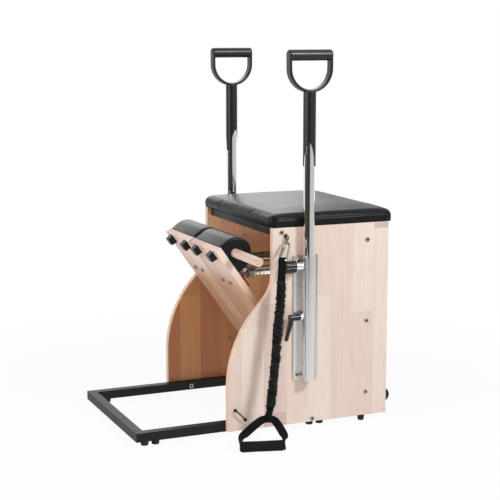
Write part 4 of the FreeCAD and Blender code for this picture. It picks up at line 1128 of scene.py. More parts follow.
def spline_points(route: Sequence[Vector], spacing: float) -> list[Vector]:
    """Even points of the smooth NURBS spline that has a route as its control points.

    Args:
        route: Control points.
        spacing: Distance between the points that are returned.

    Returns:
        Points from the first control point to the last.
    """
    curve = bpy.data.curves.new("route", "CURVE")
    curve.dimensions = "3D"
    spline = curve.splines.new("NURBS")
    spline.points.add(len(route) - 1)
    for point, place in zip(spline.points, route):
        point.co = (*place, 1)
    spline.order_u = 3
    spline.use_endpoint_u = True
    spline.resolution_u = 40
    holder = bpy.data.objects.new("route", curve)
    mesh = bpy.data.meshes.new_from_object(holder)
    fine = [vertex.co.copy() for vertex in mesh.vertices]
    bpy.data.meshes.remove(mesh)
    bpy.data.objects.remove(holder)
    bpy.data.curves.remove(curve)
    lengths = [0.0]
    for before, here in zip(fine, fine[1:]):
        lengths.append(lengths[-1] + (here - before).length)
    steps = max(2, round(lengths[-1] / spacing))
    result = []
    k = 0
    for step in range(steps + 1):
        goal = lengths[-1] * step / steps
        while k < len(fine) - 2 and lengths[k + 1] < goal:
            k += 1
        share = (goal - lengths[k]) / max(1e-9, lengths[k + 1] - lengths[k])
        result.append(fine[k].lerp(fine[k + 1], min(1.0, share)))
    return result


def ways_along(points: Sequence[Vector]) -> list[Vector]:
    """Unit directions along a row of points."""
    ways = []
    for k in range(len(points)):
        ways.append((points[min(k + 1, len(points) - 1)] - points[max(k - 1, 0)]).normalized())
    return ways


def square_to(vector: Vector, way: Vector) -> Vector:
    """The part of a vector that is square to a direction, as a unit vector."""
    return (vector - way * vector.dot(way)).normalized()


def eased(value: float, low: float, high: float) -> float:
    """Smooth step from 0 at low to 1 at high."""
    share = min(1.0, max(0.0, (value - low) / (high - low)))
    return share * share * (3 - 2 * share)


# Seat


@dataclass
class Seat:
    """Leather seat cushion with drawn-in sides, a low crown, side seams and pleated corners."""

    finishes: Finishes
    half_width: float = 0.258
    front: float = -0.005
    rear: float = 0.383
    bottom: float = 0.5764
    top: float = 0.616
    corner: float = 0.024
    rim: float = 0.019
    hem: float = 0.004
    crown: float = 0.0065
    voxel: float = 0.0045
    margin: float = 0.001
    pressure: float = 3.0
    swell_frames: int = 14
    swell_cap: float = 0.0035
    sag: float = 0.0008
    seam_drop: float = 0.0125
    seam_half: float = 0.0016
    seam_depth: float = 0.0017
    welt_drop: float = 0.0034
    welt_half: float = 0.0018
    welt_rise: float = 0.0007
    fold_at: float = 0.42
    fold_half: float = 0.075
    fold_depth: float = 0.0024
    lip_at: float = 0.62
    lip_half: float = 0.1
    lip_rise: float = 0.0009

    def build(self) -> bpy.types.Object:
        """Model the cushion.

        Returns:
            The cushion.
        """
        low = (-self.half_width + self.margin, self.front + self.margin, self.bottom)
        high = (self.half_width - self.margin, self.rear - self.margin, self.top - self.crown)
        bench = Bench.block("seat_cushion_leather", low, high)
        bench.edges(lambda a, b: abs(a.z - b.z) > 0.01).bevel(self.corner, 10)
        bench.edges(lambda a, b: min(a.z, b.z) > high[2] - 1e-4).bevel(self.rim, 7)
        bench.edges(lambda a, b: max(a.z, b.z) < self.bottom + 1e-4).bevel(self.hem, 4)
        bench.modify("REMESH", mode="VOXEL", voxel_size=self.voxel)
        bench.modify("SMOOTH", factor=0.5, iterations=4)
        self._swell(bench)
        bench.modify("SUBSURF", levels=1, render_levels=1)
        bench.shift(self._form)
        bench.smooth(60)
        piece = bench.done(self.finishes.leather, "base", "black_leather")
        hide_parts("seat_cushion")
        return piece

    def _swell(self, bench: Bench) -> None:
        """Let the cover swell a little under the foam's pressure.

        Args:
            bench: The cushion.
        """
        bench.take()
        cloth = bench.piece.modifiers.new("cover", "CLOTH")
        cloth.settings.quality = 5
        cloth.settings.use_pressure = True
        cloth.settings.uniform_pressure_force = self.pressure
        cloth.settings.effector_weights.gravity = 0
        cloth.point_cache.frame_start = 1
        cloth.point_cache.frame_end = self.swell_frames
        before = [vertex.co.copy() for vertex in bench.piece.data.vertices]
        scene = bpy.context.scene
        for step in range(1, self.swell_frames + 1):
            scene.frame_set(step)
        bpy.ops.object.modifier_apply(modifier=cloth.name)
        for vertex, start in zip(bench.piece.data.vertices, before):
            move = vertex.co - start
            if move.length > self.swell_cap:
                vertex.co = start + move.normalized() * self.swell_cap
        scene.frame_set(1)

    def _form(self, point: Vector) -> Vector:
        """Crown the top, draw the sides in, press the seams and keep the underside flat.

        Args:
            point: A point of the cushion.

        Returns:
            Where it goes.
        """
        depth = self.rear - self.front
        across = 1 - min(1.0, abs(point.x) / self.half_width) ** 2
        along = 1 - min(1.0, abs(point.y - self.front - depth / 2) / (depth / 2)) ** 2
        rise = eased(point.z, self.bottom + 0.012, self.top - self.crown - 0.002)
        point.z += rise * self.crown * eased(across, 0.0, 0.75) * eased(along, 0.0, 0.75)
        sag = noise.noise(Vector((point.x * 9, point.y * 9, 3.1))) * self.sag
        point.z += rise * sag
        seam_z = self.top - self.crown - self.seam_drop
        side = eased(abs(point.x), self.half_width - 0.012, self.half_width - 0.003)
        groove = math.exp(-(((point.z - seam_z) / self.seam_half) ** 2))
        ridge = math.exp(-(((point.z - seam_z + self.welt_drop) / self.welt_half) ** 2))
        press = groove * self.seam_depth - ridge * self.welt_rise
        point.x -= math.copysign(press * side, point.x)
        self._pleat(point)
        limit = self.half_width + 0.0012
        point.x = min(limit, max(-limit, point.x))
        point.z = max(self.bottom, point.z)
        return point

    def _pleat(self, point: Vector) -> None:
        """Press the folded pleat into each upright corner.

        Args:
            point: A point of the cushion, which moves.
        """
        middle = (self.front + self.rear) / 2
        corner_x = math.copysign(self.half_width - self.corner, point.x)
        corner_y = (self.front + self.corner) if point.y < middle else (self.rear - self.corner)
        out_x = (point.x - corner_x) * math.copysign(1, point.x)
        out_y = (point.y - corner_y) * (-1 if point.y < middle else 1)
        if out_x <= 0 or out_y <= 0:
            return
        angle = math.atan2(out_y, out_x)
        fold = math.exp(-(((angle - self.fold_at) / self.fold_half) ** 2))
        lip = math.exp(-(((angle - self.lip_at) / self.lip_half) ** 2))
        fade = 1 - eased(point.z, self.top - self.crown - 0.012, self.top - self.crown + 0.002)
        push = (fold * self.fold_depth - lip * self.lip_rise) * fade
        point.x -= math.copysign(push * math.cos(angle), point.x)
        point.y -= push * math.sin(angle) * (-1 if point.y < middle else 1)


# Pedal pads


@dataclass
class PedalPad:
    """Arched foot pad in leather, with a welted end and a collar round the dowel's bore."""

    finishes: Finishes
    side: Side
    low_x: float = 0.0075
    high_x: float = 0.197
    middle: float = 0.047
    axis_rise: float = DOWEL_RISE
    radius: float = 0.048
    bore_y: float = DOWEL_ALONG
    bore: float = 0.0128
    collar: float = 0.030
    roll: float = 0.0075
    sink: float = 0.003
    recess: float = 0.006
    welt: float = 0.0016
    groove: float = 0.0014
    border: float = 0.0035
    welt_depth: float = 0.0011
    lift: float = 0.0002
    foot: float = 14 / 36

    def build(self) -> bpy.types.Object:
        """Model the pad lying flat on its board, then lean it.

        Returns:
            The pad.
        """
        bench = Bench.disc("%s_pad_leather" % self.side.word, self.radius, 72)
        bench.shift(self._arch)
        bench.all().straighten()
        length = self.high_x - self.low_x
        bench.all().extrude(Vector((length, 0, 0)))
        bench.outward()
        bench.edges(lambda a, b: abs(a.x - b.x) < 1e-6).bevel(self.roll, 6)
        bench.faces(lambda middle, normal: abs(normal.x) > 0.995)
        bench.inset(self.welt, -self.welt_depth)
        bench.inset(self.groove, self.welt_depth)
        bench.inset(self.border, 0.0)
        lying = Matrix.Rotation(math.pi / 2, 4, "Y")
        for end, sign in ((self.low_x, -1), (self.high_x, 1)):
            recess = Bench.drum("recess", self.collar, self.recess, 64)
            recess.turned(lying)
            start = end - (self.sink if sign > 0 else self.recess - self.sink)
            recess.turned(Matrix.Translation((start, self.middle, self.axis_rise)))
            bench.cut(recess)
        bore = Bench.drum("bore", self.bore, 0.3, 48)
        bore.turned(Matrix.Translation((-0.05, self.bore_y, self.axis_rise)) @ lying)
        bench.cut(bore)
        bench.smooth(32)
        if self.side is Side.LEFT:
            bench.turned(Matrix.Diagonal((-1, 1, 1, 1)))
            bench.outward()
            bench.clear()
        bench.turned(Matrix.Translation(PEDAL_TOP) @ Matrix.Rotation(-PEDAL_TILT, 4, "X"))
        piece = bench.done(self.finishes.pad_leather, "%s_pedal" % self.side.word, "black_leather")
        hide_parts("%s_pedal_pad" % self.side.word)
        return piece

    def _arch(self, point: Vector) -> Vector:
        """Draw the lower half of a circle down to the board.

        Args:
            point: A point of the circle round the origin.

        Returns:
            Where it goes on the pad's section.
        """
        floor = BOARD_T + self.lift
        if point.z >= -1e-6:
            return Vector((self.low_x, self.middle + point.y, self.axis_rise + point.z))
        share = math.atan2(-point.z, point.y) / math.pi
        drop = self.axis_rise - floor
        if share < self.foot:
            y, z = self.middle + self.radius, self.axis_rise - drop * share / self.foot
        elif share > 1 - self.foot:
            y, z = self.middle - self.radius, self.axis_rise - drop * (1 - share) / self.foot
        else:
            across = (share - self.foot) / (1 - 2 * self.foot)
            y, z = self.middle + self.radius * (1 - 2 * across), floor
        return Vector((self.low_x, y, z))


# Springs


@dataclass
class Springs:
    """The two looped extension springs of one pedal."""

    finishes: Finishes
    side: Side
    places: tuple[float, float] = (0.082, 0.136)
    eye: Point = (0.0, -0.040764, 0.433949)
    hook: Point = (0.0, 0.269, 0.432)
    coil: float = 0.0095
    wire: float = 0.0016
    turns: int = 64
    start: float = 0.0197
    neck: float = 0.005
    held: float = 0.02
    steps: int = 18
    loop_sweep: float = 205.0
    loop_steps: int = 24

    def build(self) -> bpy.types.Object:
        """Wind the springs.

        Returns:
            Both springs as one piece.
        """
        eye, hook = Vector(self.eye), Vector(self.hook)
        way = (hook - eye).normalized()
        across = Vector((1, 0, 0))
        up = way.cross(across)
        path = self._path((hook - eye).length)
        coils = []
        for place in self.places:
            x = place * self.side.value
            points = [eye + across * (x + p.x) + up * p.y + way * p.z for p in path]
            coils.append(wire("spring_wire", points, self.wire))
        piece = joined("%s_spring_coils" % self.side.word, coils)
        Bench(piece).smooth(60)
        word = self.side.word
        dress(piece, self.finishes.spring, None)
        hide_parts("%s_springs" % word)
        begin = hook - way * self.start
        end = eye + way * (self.start + self.held)
        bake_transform(piece)
        return piece

    def _path(self, length: float) -> list[Vector]:
        """Points of one spring whose axis is Z, between eye centres at 0 and length.

        Args:
            length: Distance between the two eye centres.

        Returns:
            The wire's points.
        """
        low, high = self.start, length - self.start
        points = []
        for step in range(self.loop_steps + 1):
            angle = math.radians(self.loop_sweep - self.loop_sweep * step / self.loop_steps)
            height = low - self.neck - self.coil * math.sin(angle)
            points.append(Vector((self.coil * math.cos(angle), 0, height)))
        total = self.turns * self.steps
        for step in range(1, total):
            angle = 2 * math.pi * step / self.steps
            height = low + (high - low) * step / total
            points.append(Vector((self.coil * math.cos(angle), self.coil * math.sin(angle), height)))
        for step in range(self.loop_steps + 1):
            angle = math.radians(self.loop_sweep * step / self.loop_steps)
            height = high + self.neck + self.coil * math.sin(angle)
            points.append(Vector((self.coil * math.cos(angle), 0, height)))
        return points


# Straps


@dataclass
class Strap:
    """Resistance strap: webbing loop, gathered sleeve, handle webbing and foam handle."""

    finishes: Finishes
    side: Side
    snap_end: Point
    route: Sequence[Point]
    apex: Point
    handle: Point
    yaw: float
    sleeve_r: float = 0.012
    webbing_half: float = 0.010
    ply: float = 0.0009
    leg_half: float = 0.012
    neck_half: float = 0.009
    handle_r: float = 0.015
    handle_half: float = 0.058
    fold_z: float = 0.036
    seed: float = 0.0
    step: float = 0.001
    sides: int = 40
    flat_half: float = 0.0085
    flat_thick: float = 0.0019
    tuck: float = 0.0010
    lean: float = 0.007
    lump_pitch: float = 0.0095
    lump_height: float = 0.0032
    crease_pitch: float = 0.0062
    crease_height: float = 0.0031
    fine_pitch: float = 0.0027
    fine_height: float = 0.0012
    gather_limits: tuple[float, float] = (-0.0024, 0.0052)
    bends: int = 12
    slack: float = 0.0005
    overlap: float = 0.006
    fold_gap: float = 0.0032
    sewn_gap: float = 0.0029
    back_gap: float = 0.0031
    neck_past: float = 0.004
    neck_close: float = 0.0012
    leg_off: float = 0.0018
    leg_start: Sequence[tuple[float, float]] = ((-0.009, 0.004), (0.006, 0.003), (0.020, 0.007))
    leg_twist: tuple[float, float] = (0.64, 0.94)
    end_roll: float = 0.006
    end_rings: Sequence[float] = (0.0, 0.0004, 0.0013, 0.003)
    foam_dent: float = 0.0003
    waist: float = 0.0006

    def __post_init__(self) -> None:
        """Turn the places into vectors on the strap's own side."""
        sign = self.side.value
        self.exit_at = Vector((self.snap_end[0] * sign, *self.snap_end[1:]))
        self.stops = [Vector((x * sign, y, z)) for x, y, z in self.route]
        self.top = Vector((self.apex[0] * sign, *self.apex[1:]))
        self.hold = Vector((self.handle[0] * sign, *self.handle[1:]))
        yaw = math.radians(self.yaw)
        self.axis = Vector((math.sin(yaw) * sign, math.cos(yaw), 0))

    def build(self) -> list[bpy.types.Object]:
        """Returns:
            The strap's pieces.
        """
        word = self.side.word
        line = spline_points([self.exit_at, *self.stops, self.top], self.step)
        sleeve = self._sleeve(line)
        loop = self._loop(line)
        legs = self._legs()
        grip = self._grip()
        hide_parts("%s_strap_sleeve" % word)
        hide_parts("%s_strap_webbing" % word)
        length = sum((b - a).length for a, b in zip(line, line[1:]))
        2 * self.sleeve_r
        return [sleeve, loop, legs, grip]

    def _across(self, way: Vector, share: float) -> Vector:
        """Direction across the flat parts.

        Args:
            way: Direction along the strap.
            share: Place along the strap from 0 to 1.

        Returns:
            A unit vector.
        """
        return square_to(Vector((0, 1, 0)).lerp(self.axis, share), way)

    def _sleeve(self, line: Sequence[Vector]) -> bpy.types.Object:
        """The gathered sleeve, flat inside the webbing at both of its ends.

        Args:
            line: Points along the strap.

        Returns:
            The sleeve.
        """
        ways = ways_along(line)
        total = len(line) - 1
        first = min(range(len(line)), key=lambda k: (line[k] - self.stops[0]).length)
        last = min(range(len(line)), key=lambda k: (line[k] - self.stops[-1]).length)
        body = self.sleeve_r - self.tuck
        rings = []
        for k, (point, way) in enumerate(zip(line, ways)):
            across = self._across(way, k / total)
            through = way.cross(across)
            full = eased(k, first - 2, first + 9) * (1 - eased(k, last - 10, last + 3))
            ring = []
            for step in range(self.sides):
                angle = 2 * math.pi * step / self.sides
                puff = self._gather(k * self.step, angle) * full
                wide = self.flat_half + (body - self.flat_half) * full + puff
                thick = self.flat_thick + (body - self.flat_thick) * full + puff
                edge = point + across * (wide * math.cos(angle))
                ring.append(edge + through * (thick * math.sin(angle)))
            rings.append(ring)
        piece = skin("%s_strap_gathers" % self.side.word, rings)
        Bench(piece).smooth(70)
        return dress(piece, self.finishes.sleeve, "base")

    def _gather(self, place: float, angle: float) -> float:
        """How far the scrunched cloth stands off its usual radius.

        Args:
            place: Distance along the strap.
            angle: Angle round it.

        Returns:
            Distance in metres.
        """
        c, s = math.cos(angle), math.sin(angle)
        spot = place + self.lean * noise.noise(Vector((c * 0.6, s * 0.6, place * 35 + self.seed)))
        lumps = noise.noise(Vector((c * 0.6 + self.seed, s * 0.6, spot / self.lump_pitch)))
        creases = noise.noise(Vector((c * 0.9, s * 0.9 + self.seed, spot / self.crease_pitch)))
        fine = noise.noise(Vector((c * 1.6, s * 1.6 - self.seed, spot / self.fine_pitch)))
        height = self.lump_height * lumps
        height += self.crease_height * (1 - 2.4 * abs(creases))
        height += self.fine_height * (1 - 2.4 * abs(fine))
        lowest, highest = self.gather_limits
        return min(highest, max(lowest, height - self.tuck))

    def _ribbon(
        self, name: str, stations: Sequence[tuple[Vector, Vector]], half: float
    ) -> bpy.types.Object:
        """A strip of webbing.

        Args:
            name: The piece's name.
            stations: Centre points and the directions across the strip.
            half: Half the strip's width.

        Returns:
            The strip.
        """
        points = [point for point, _ in stations]
        rings = []
        for (point, across), way in zip(stations, ways_along(points)):
            side = square_to(across, way)
            normal = way.cross(side)
            ring = []
            for face in (1, -1):
                for wide, thick in RIBBON_EDGE:
                    edge = point + side * (face * half * wide)
                    ring.append(edge + normal * (face * self.ply * thick))
            rings.append(ring)
        piece = skin(name, rings)
        Bench(piece).smooth(40)
        return dress(piece, self.finishes.webbing, "base")

    def _loop(self, line: Sequence[Vector]) -> bpy.types.Object:
        """Webbing folded over the clip and sewn into the sleeve's top.

        Args:
            line: Points along the strap.

        Returns:
            The loop.
        """
        way = (self.stops[0] - self.exit_at).normalized()
        across = square_to(Vector((0, 1, 0)), way)
        through = way.cross(across)
        eye = self.exit_at - way * self.slack
        run = (self.stops[0] - self.exit_at).length + self.overlap
        stations = []
        for step in range(self.bends + 1):
            share = step / self.bends
            gap = self.fold_gap - (self.fold_gap - self.sewn_gap) * share
            stations.append((eye + way * (run * (1 - share)) + through * gap, across))
        for step in range(1, self.bends):
            angle = math.pi * step / self.bends
            crown = eye + through * (self.fold_gap * math.cos(angle))
            stations.append((crown - way * (self.fold_gap * math.sin(angle)), across))
        for step in range(self.bends + 1):
            share = step / self.bends
            stations.append((eye + way * (run * share) - through * self.back_gap, across))
        return self._ribbon("%s_strap_loop" % self.side.word, stations, self.webbing_half)

    def _legs(self) -> bpy.types.Object:
        """Neck and the two legs of the handle's webbing, folded down over the handle's ends.

        Returns:
            The webbing as one piece.
        """
        strips = []
        neck_way = (self.top - self.stops[-1]).normalized()
        neck_across = square_to(self.axis, neck_way)
        through = neck_way.cross(neck_across)
        for level in (-1, 1):
            stations = []
            for step in range(9):
                share = step / 8
                place = self.stops[-1].lerp(self.top + neck_way * self.neck_past, share)
                place -= neck_way * (self.neck_past * (1 - share))
                gap = self.sewn_gap - self.neck_close * share
                stations.append((place + through * (level * gap), neck_across))
            strips.append(self._ribbon("strap_neck", stations, self.neck_half))
        for sign in (-1, 1):
            end = self.hold + self.axis * (sign * (self.handle_half + self.leg_off))
            fold = Vector((end.x, end.y, self.fold_z))
            route = []
            for out, drop in self.leg_start:
                route.append(self.top + self.axis * (sign * out) - Vector((0, 0, drop)))
            route += [
                fold.lerp(self.top, 0.32) + self.axis * (sign * 0.007) + Vector((0, 0, 0.001)),
                fold + Vector((0, 0, 0.002)),
                Vector((end.x, end.y, 0.02)),
                Vector((end.x, end.y, 0.0045)),
            ]
            points = spline_points(route, 0.002)
            ways = ways_along(points)
            plane = self.axis.cross(self.top - self.hold).normalized()
            stations = []
            for k, (point, way) in enumerate(zip(points, ways)):
                share = eased(k / (len(points) - 1), *self.leg_twist)
                stations.append((point, plane.cross(way).lerp(plane * -sign, share)))
            strips.append(self._ribbon("strap_leg", stations, self.leg_half))
        return joined("%s_strap_legs" % self.side.word, strips)

    def _grip(self) -> bpy.types.Object:
        """Foam handle with a soft waist and pressed ends.

        Returns:
            The handle.
        """
        rings = []
        side = self.axis.cross(Vector((0, 0, 1)))
        length = 2 * self.handle_half
        plain = length - 2 * self.end_roll
        spots = [*self.end_rings, self.end_roll]
        spots += [self.end_roll + plain * k / 26 for k in range(1, 27)]
        spots += [length - spot for spot in reversed(self.end_rings)]
        for spot in spots:
            near = min(spot, length - spot)
            round_off = 0.0022 * (1 - eased(near, 0.0, 0.004))
            waist = self.waist * math.sin(math.pi * spot / length)
            place = self.hold + self.axis * (spot - self.handle_half)
            ring = []
            for step in range(self.sides):
                angle = 2 * math.pi * step / self.sides
                c, s = math.cos(angle), math.sin(angle)
                dent = self.foam_dent * noise.noise(Vector((c * 2, s * 2, spot * 60 + self.seed)))
                radius = self.handle_r - self.foam_dent - round_off - waist + dent
                edge = place + side * (radius * c)
                ring.append(edge + Vector((0, 0, radius * s)))
            rings.append(ring)
        piece = skin("%s_strap_handle_foam" % self.side.word, rings)
        Bench(piece).smooth(40)
        return dress(piece, self.finishes.foam, "base")


# Strap hooks


@dataclass
class StrapHooks:
    """Eye, link and spring-gate hook that each strap hangs from."""

    finishes: Finishes
    straps: Sequence[Strap]
    eye: Point = (0.254, 0.043, 0.553)
    stud: float = 0.0062
    stud_rise: float = 0.006
    out: float = 0.009
    ring: float = 0.0045
    ring_wire: float = 0.0015
    link_drop: float = 0.0135
    link_half: float = 0.0042
    link_wire: float = 0.0015
    hook_wire: float = 0.0023
    top_half: float = 0.0085
    low_half: float = 0.0108
    corner: float = 0.003
    nest: float = 0.003
    barrel: float = 0.0034
    barrel_ends: tuple[float, float] = (-0.0015, 0.0065)
    gate_top: tuple[float, float] = (0.002, 0.003)
    gate_low: tuple[float, float] = (0.003, 0.0042)
    gate_share: float = 0.7
    thumb_at: float = 0.42
    thumb_ends: tuple[float, float] = (0.0005, 0.0062)

    def build(self) -> list[bpy.types.Object]:
        """Model the eyes and the hooks of both sides.

        Returns:
            The eyes and the hooks.
        """
        eyes, hooks = [], []
        for strap in self.straps:
            root = Vector((self.eye[0] * strap.side.value, *self.eye[1:]))
            out = Vector((strap.side.value, 0, 0))
            ring = root + out * self.out - Vector((0, 0, self.ring))
            eyes.append(self._stud(root, strap.side))
            eyes.append(self._circle(ring, self.ring, self.ring, self.ring_wire, False))
            low = ring - Vector((0, 0, self.ring + self.link_drop / 2 - self.nest))
            hooks.append(self._circle(low, self.link_half, self.link_drop / 2, self.link_wire, True))
            start = low - Vector((0, 0, self.link_drop / 2 - self.nest))
            hooks += self._hook(start, strap.exit_at)
        eye = joined("strap_eye_studs", eyes)
        hook = joined("strap_snap_hooks", hooks)
        Bench(eye).smooth(40)
        Bench(hook).smooth(40)
        dress(eye, self.finishes.knob, "base")
        dress(hook, self.finishes.clip, "base")
        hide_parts("strap_eyes")
        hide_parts("strap_clips")
        return [eye, hook]

    def _stud(self, root: Vector, side: Side) -> bpy.types.Object:
        """Domed stud on the panel.

        Args:
            root: Middle of its foot.
            side: Side of the chair.

        Returns:
            The stud.
        """
        bench = Bench.drum("eye_stud", self.stud, self.stud_rise, 24)
        bench.edges(lambda a, b: min(a.z, b.z) > self.stud_rise - 1e-5).bevel(self.stud_rise * 0.8, 4)
        bench.clear()
        bench.turned(Matrix.Translation(root) @ Matrix.Rotation(math.pi / 2 * side.value, 4, "Y"))
        return bench.piece

    @staticmethod
    def _circle(
        middle: Vector, half: float, tall: float, radius: float, facing: bool
    ) -> bpy.types.Object:
        """A closed wire oval that stands upright.

        Args:
            middle: Its middle.
            half: Half its width.
            tall: Half its height.
            radius: The wire's radius.
            facing: Whether it lies in the plane of X and Z and not of Y and Z.

        Returns:
            The oval.
        """
        wide = Vector((1, 0, 0)) if facing else Vector((0, 1, 0))
        points = []
        for step in range(28):
            angle = 2 * math.pi * step / 28
            edge = middle + wide * (half * math.cos(angle))
            points.append(edge + Vector((0, 0, tall * math.sin(angle))))
        return wire("eye_wire", points, radius, True)

    def _hook(self, start: Vector, end: Vector) -> list[bpy.types.Object]:
        """Spring-gate hook from the link down into the webbing's fold.

        Args:
            start: Where it hangs in the link.
            end: Middle of its lower bar.

        Returns:
            The frame, the swivel barrel, the gate and the gate's stud.
        """
        way = (end - start).normalized()
        across = square_to(Vector((0, 1, 0)), way)
        length = (end - start).length

        def spot(u: float, v: float) -> Vector:
            """Point at a distance along the hook and across it."""
            return start + way * u + across * v

        a, b, w = self.top_half, self.corner, self.low_half
        frame = []
        for k in range(13):
            angle = math.pi * k / 12
            frame.append(spot(a * (1 - math.sin(angle)), -a * math.cos(angle)))
        for sign in (1, -1):
            for k in range(7):
                angle = math.pi / 2 * (k if sign > 0 else 6 - k) / 6
                along = length - b + b * math.sin(angle)
                frame.append(spot(along, sign * (w - b + b * math.cos(angle))))
        gate = [
            spot(a + self.gate_top[0], -a + self.gate_top[1]),
            spot(length - self.gate_low[0], -w + self.gate_low[1]),
        ]
        stud = [spot(length * self.thumb_at, -a + reach) for reach in self.thumb_ends]
        barrel = [spot(along, 0) for along in self.barrel_ends]
        return [
            wire("hook_frame", frame, self.hook_wire, True),
            wire("hook_barrel", barrel, self.barrel),
            wire("hook_gate", gate, self.hook_wire * self.gate_share),
            wire("hook_stud", stud, self.hook_wire),
        ]


# Fasteners


@dataclass
class CrossHeads:
    """Pan-head bolts with a cross recess."""

    finishes: Finishes
    panel_places: Sequence[tuple[float, float]] = (
        (0.297, 0.528),
        (0.297, 0.294),
        (0.297, 0.085),
        (-0.064, 0.025),
        (0.127, 0.025),
        (0.0295, 0.5635),
    )
    socket_rows: tuple[float, float] = (0.159, 0.483)
    socket_columns: tuple[float, float] = (0.077, 0.128)
    flange: float = 0.004
    panel_head: tuple[float, float] = (0.0075, 0.0027)
    socket_head: tuple[float, float] = (0.006, 0.0024)
    dome: float = 0.62
    slot_reach: float = 0.64
    slot_half: float = 0.2
    slot_floor: float = 0.12

    def build(self) -> list[bpy.types.Object]:
        """Model the heads of the panel bolts and of the socket bolts.

        Returns:
            The two sets.
        """
        corners = [(y, z) for z in self.socket_rows for y in self.socket_columns]
        panel = self._set("panel_bolt_heads", self.panel_places, PANEL_OUT, *self.panel_head)
        socket = self._set("socket_bolt_heads", corners, PANEL_OUT + self.flange, *self.socket_head)
        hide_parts("panel_bolts")
        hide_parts("socket_bolts")
        return [panel, socket]

    def _set(
        self,
        name: str,
        places: Sequence[tuple[float, float]],
        seat: float,
        radius: float,
        height: float,
    ) -> bpy.types.Object:
        """Model one head and copy it to both sides.

        Args:
            name: Name of the set.
            places: Y and Z of the bolts of one side.
            seat: X of the face that the heads sit on.
            radius: Radius of a head.
            height: Height of a head.

        Returns:
            The set as one piece.
        """
        bench = Bench.drum(name, radius, height, 40)
        bench.edges(lambda a, b: min(a.z, b.z) > height - 1e-5).bevel(height * self.dome, 5)
        for turn in (0.0, math.pi / 2):
            low = (-radius * self.slot_reach, -radius * self.slot_half, height * self.slot_floor)
            slot = Bench.block("slot", low, (-low[0], -low[1], height * 2))
            slot.turned(Matrix.Rotation(turn + 0.5, 4, "Z"))
            bench.cut(slot)
        bench.smooth(35)
        # Mark the faces deep in the cross recess for their painted shade
        recess_shade_marks = bench.piece.data.attributes.new(RECESS_SHADE, "FLOAT", "FACE")
        for face in bench.piece.data.polygons:
            deep = height * 0.05 < face.center.z < height * 0.8
            recess_shade_marks.data[face.index].value = float(deep and face.center.xy.length < radius * 0.66)
        frames = []
        for side in Side:
            face = Matrix.Rotation(math.pi / 2 * side.value, 4, "Y")
            for index, (y, z) in enumerate(places):
                spun = Matrix.Rotation(index * 0.9, 4, "Z")
                frames.append(Matrix.Translation((seat * side.value, y, z)) @ face @ spun)
        bench.copied(name, frames)
        return bench.done(self.finishes.bolt, "base", "zinc_steel")


# Studio


